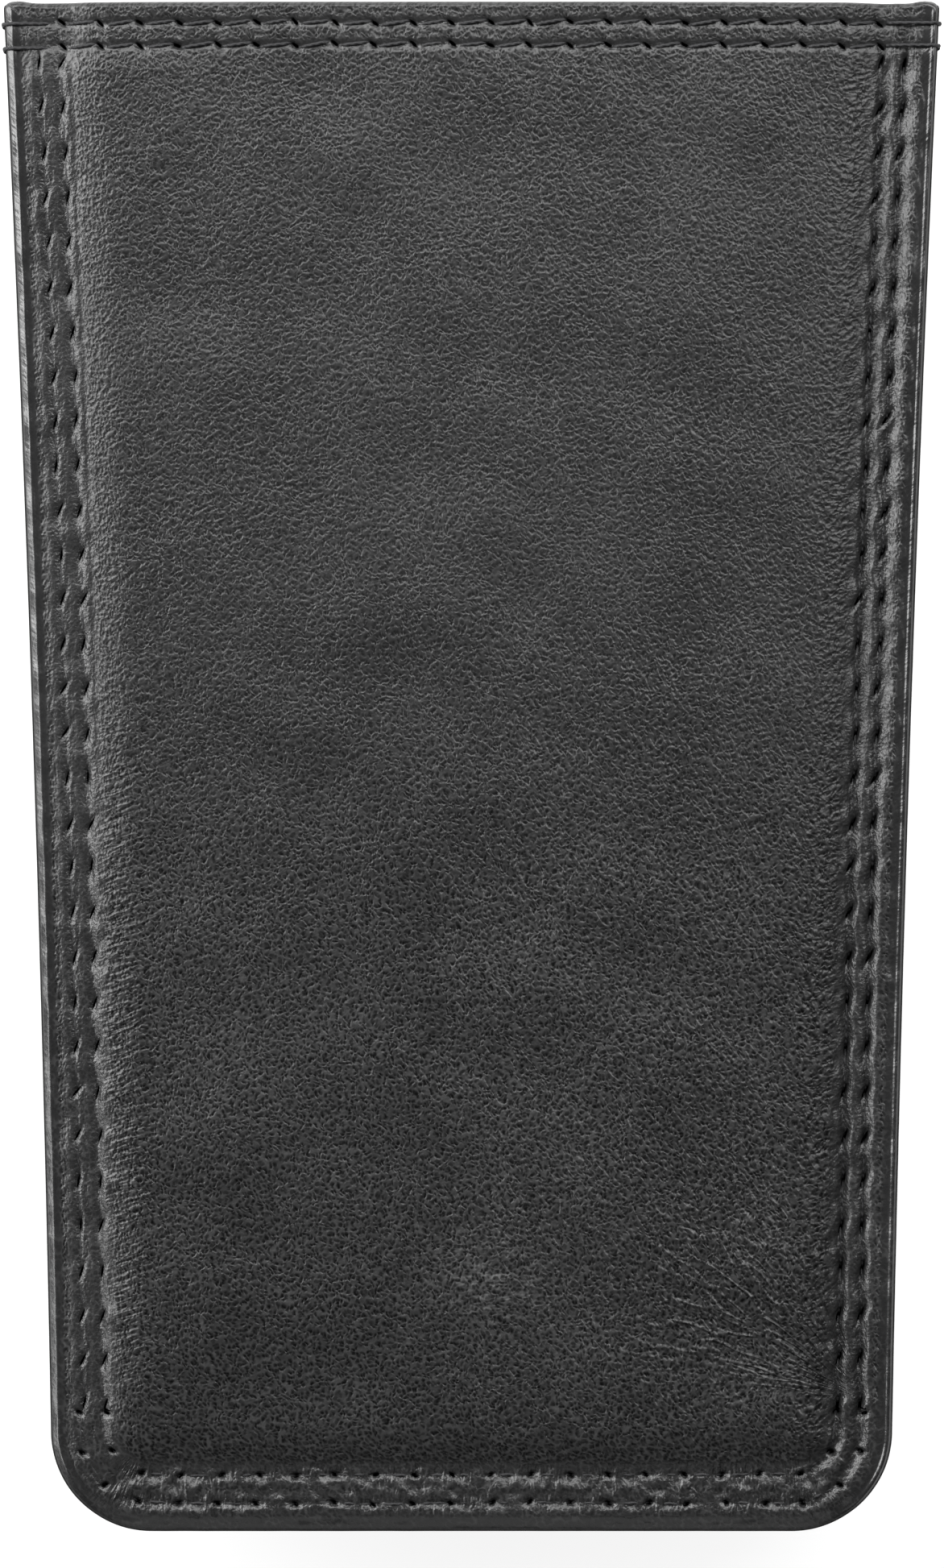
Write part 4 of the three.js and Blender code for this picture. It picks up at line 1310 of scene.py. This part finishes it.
def thread():
    shader = Shader("black_thread")
    plies = shader.wave(shader.place, 1.0, "DIAGONAL", 0.4)
    fuzz = shader.noise(shader.place, 6.0, 2.0)
    shader.set(Specular_IOR_Level=0.25)
    return shader.made(plies, 0.07, fuzz, (0.011, 0.011, 0.012), (0.03, 0.03, 0.031), Roughness=0.6)


def nickel():
    shader = Shader("nickel_steel")
    scratches = shader.noise(shader.mapping(shader.place, 20, 0.6, 9.0, 3.0), 1.0, 3.0)
    shader.set(Metallic=1.0, Roughness=shader.ramp(scratches, 0.3, 0.7, 0.16, 0.3))
    return shader.made(scratches, 0.01, scratches, (0.53, 0.535, 0.54), (0.66, 0.665, 0.67))


# The case, put together

TAPE_TOP = MOUTH_Y - FOLD - HEM_GAP
TAPE_HALF = float(half_width(HEM_Y)) - PADDING_INSET


def panels():
    leather = black_leather()
    for face in (FRONT, BACK):
        panel = dress(leather_panel(face, leather), "case", f"{face.name}_panel")


def linings():
    twill_cloth = twill("black_twill", (0.014, 0.014, 0.015), (0.034, 0.034, 0.036), 1.2, 45)
    for face in (FRONT, BACK):
        heights = (face.lining, face.inside)[:: face.sign]
        cloth = layer(f"{face.name}_lining_cloth", twill_cloth, LINING_INSETS, *heights)
        if face is BACK:
            pierce(cloth, RIVET_BORE)
        dress(cloth, "case", f"{face.name}_lining")


def fillings():
    padding = layer("front_padding_felt", felt(), BOARD_INSETS, *between(FRONT))
    dress(padding, "case", "front_padding")
    back_board = layer("back_board", board(), BOARD_INSETS, *between(BACK))
    pierce(back_board, RIVET_HEAD_RADIUS + RUNNING_GAP)
    dress(back_board, "case", "back_stiffener")
    tape_cloth = twill("woven_tape", (0.26, 0.25, 0.23), (0.42, 0.41, 0.38), 1.6, 0)
    for face in (FRONT, BACK):
        tape = band(f"{face.name}_hem_tape", tape_cloth, TAPE_HALF, HEM_Y, TAPE_TOP, *between(face))
        dress(tape, "case", f"{face.name}_mouth_tape")


def stitches():
    sewing = thread()
    for face, kind in ((FRONT, "needle"), (BACK, "bobbin")):
        for name, row in face.rows.items():
            if row.kind == "mouth":
                stitch_row(face, row, f"{face.name}_{name}_needle", sewing)
                bobbin_row(face, row.inset, f"{face.name}_{name}_bobbin", sewing)
            else:
                stitch_row(face, row, f"{name}_{kind}", sewing)


# Stage, light and camera

FLOOR_SIZE = 1500.0
FLOOR_GAP = 0.2
FLOOR_GLOW = 0.85
WORLD_LIGHT = 0.1
LAMPS = {  # place and size in metres, and radiance
    "left_softbox": ((-0.44, 0.24, 0.22), (0.46, 0.34), 10.9),
    "left_edge_softbox": ((-0.50, -0.08, 0.17), (0.4, 0.1), 8.0),
    "right_softbox": ((0.36, 0.26, 0.30), (0.3, 0.36), 6.5),
    "mouth_softbox": ((0.0, 0.30, 0.24), (0.4, 0.2), 7.2),
    "base_softbox": ((0.0, -0.42, 0.30), (0.4, 0.3), 0.6),
}
FOCAL_LENGTH = 200
SENSOR_WIDTH = 36
VIEW_HEIGHT = 110.7
VIEW_CENTRE = (0.03, -1.19)


def floor():
    """A white floor that glows for the eye and in mirrors, but lights the case only a little."""
    mesh = Mesh()
    x = np.array([-FLOOR_SIZE, FLOOR_SIZE])
    mesh.strip(mesh.add(x, -FLOOR_SIZE, 0), mesh.add(x, FLOOR_SIZE, 0))
    shader = Shader("white_floor")
    light_path = shader.add("ShaderNodeLightPath")
    seen = 0.0
    for ray in ("Camera", "Glossy", "Transmission"):
        seen = shader.math("MAXIMUM", light_path.outputs[f"Is {ray} Ray"], seen)
    shader.set(
        Base_Color=(0.25, 0.25, 0.25, 1), Roughness=0.9,
        Emission_Color=(1, 1, 1, 1), Emission_Strength=shader.times(seen, FLOOR_GLOW),
    )
    piece = mesh.object("floor", shader.material)
    piece.location.z = -FLOOR_GAP * MM


def softbox(name, place, size, radiance):
    """A soft lamp that faces the case. Its radiance is what a mirror would show of it."""
    lamp = bpy.data.lights.new(name, "AREA")
    lamp.shape = "RECTANGLE"
    lamp.size, lamp.size_y = size
    lamp.energy = radiance * math.pi * size[0] * size[1]
    light = bpy.data.objects.new(name, lamp)
    light.location = place
    light.rotation_euler = (-light.location).to_track_quat("-Z", "Y").to_euler()
    light.visible_camera = False
    bpy.context.scene.collection.objects.link(light)


def studio():
    """A white world that lights the case only a little, and the lamps."""
    world = bpy.data.worlds.new("studio")
    bpy.context.scene.world = world
    world.use_nodes = True
    nodes, links = world.node_tree.nodes, world.node_tree.links
    background = nodes["Background"]
    background.inputs["Color"].default_value = (1, 1, 1, 1)
    path = nodes.new("ShaderNodeLightPath")
    strength = nodes.new("ShaderNodeMapRange")
    links.new(path.outputs["Is Camera Ray"], strength.inputs["Value"])
    strength.inputs["To Min"].default_value = WORLD_LIGHT
    strength.inputs["To Max"].default_value = 1.0
    links.new(strength.outputs["Result"], background.inputs["Strength"])
    for name, lamp in LAMPS.items():
        softbox(name, *lamp)


def camera():
    lens = bpy.data.cameras.new("camera")
    lens.lens = FOCAL_LENGTH
    lens.sensor_width = SENSOR_WIDTH
    eye = bpy.data.objects.new("camera", lens)
    distance = VIEW_HEIGHT * FOCAL_LENGTH / SENSOR_WIDTH
    eye.location = (VIEW_CENTRE[0] * MM, VIEW_CENTRE[1] * MM, (FLANGE_MIDDLE + distance) * MM)
    bpy.context.scene.collection.objects.link(eye)
    bpy.context.scene.camera = eye


panels()
linings()
fillings()
stitches()
steel = nickel()
rivet(steel)
key_strap(strap_leather())
split_ring(steel)
floor()
studio()
camera()
bpy.context.scene.view_settings.view_transform = "Standard"
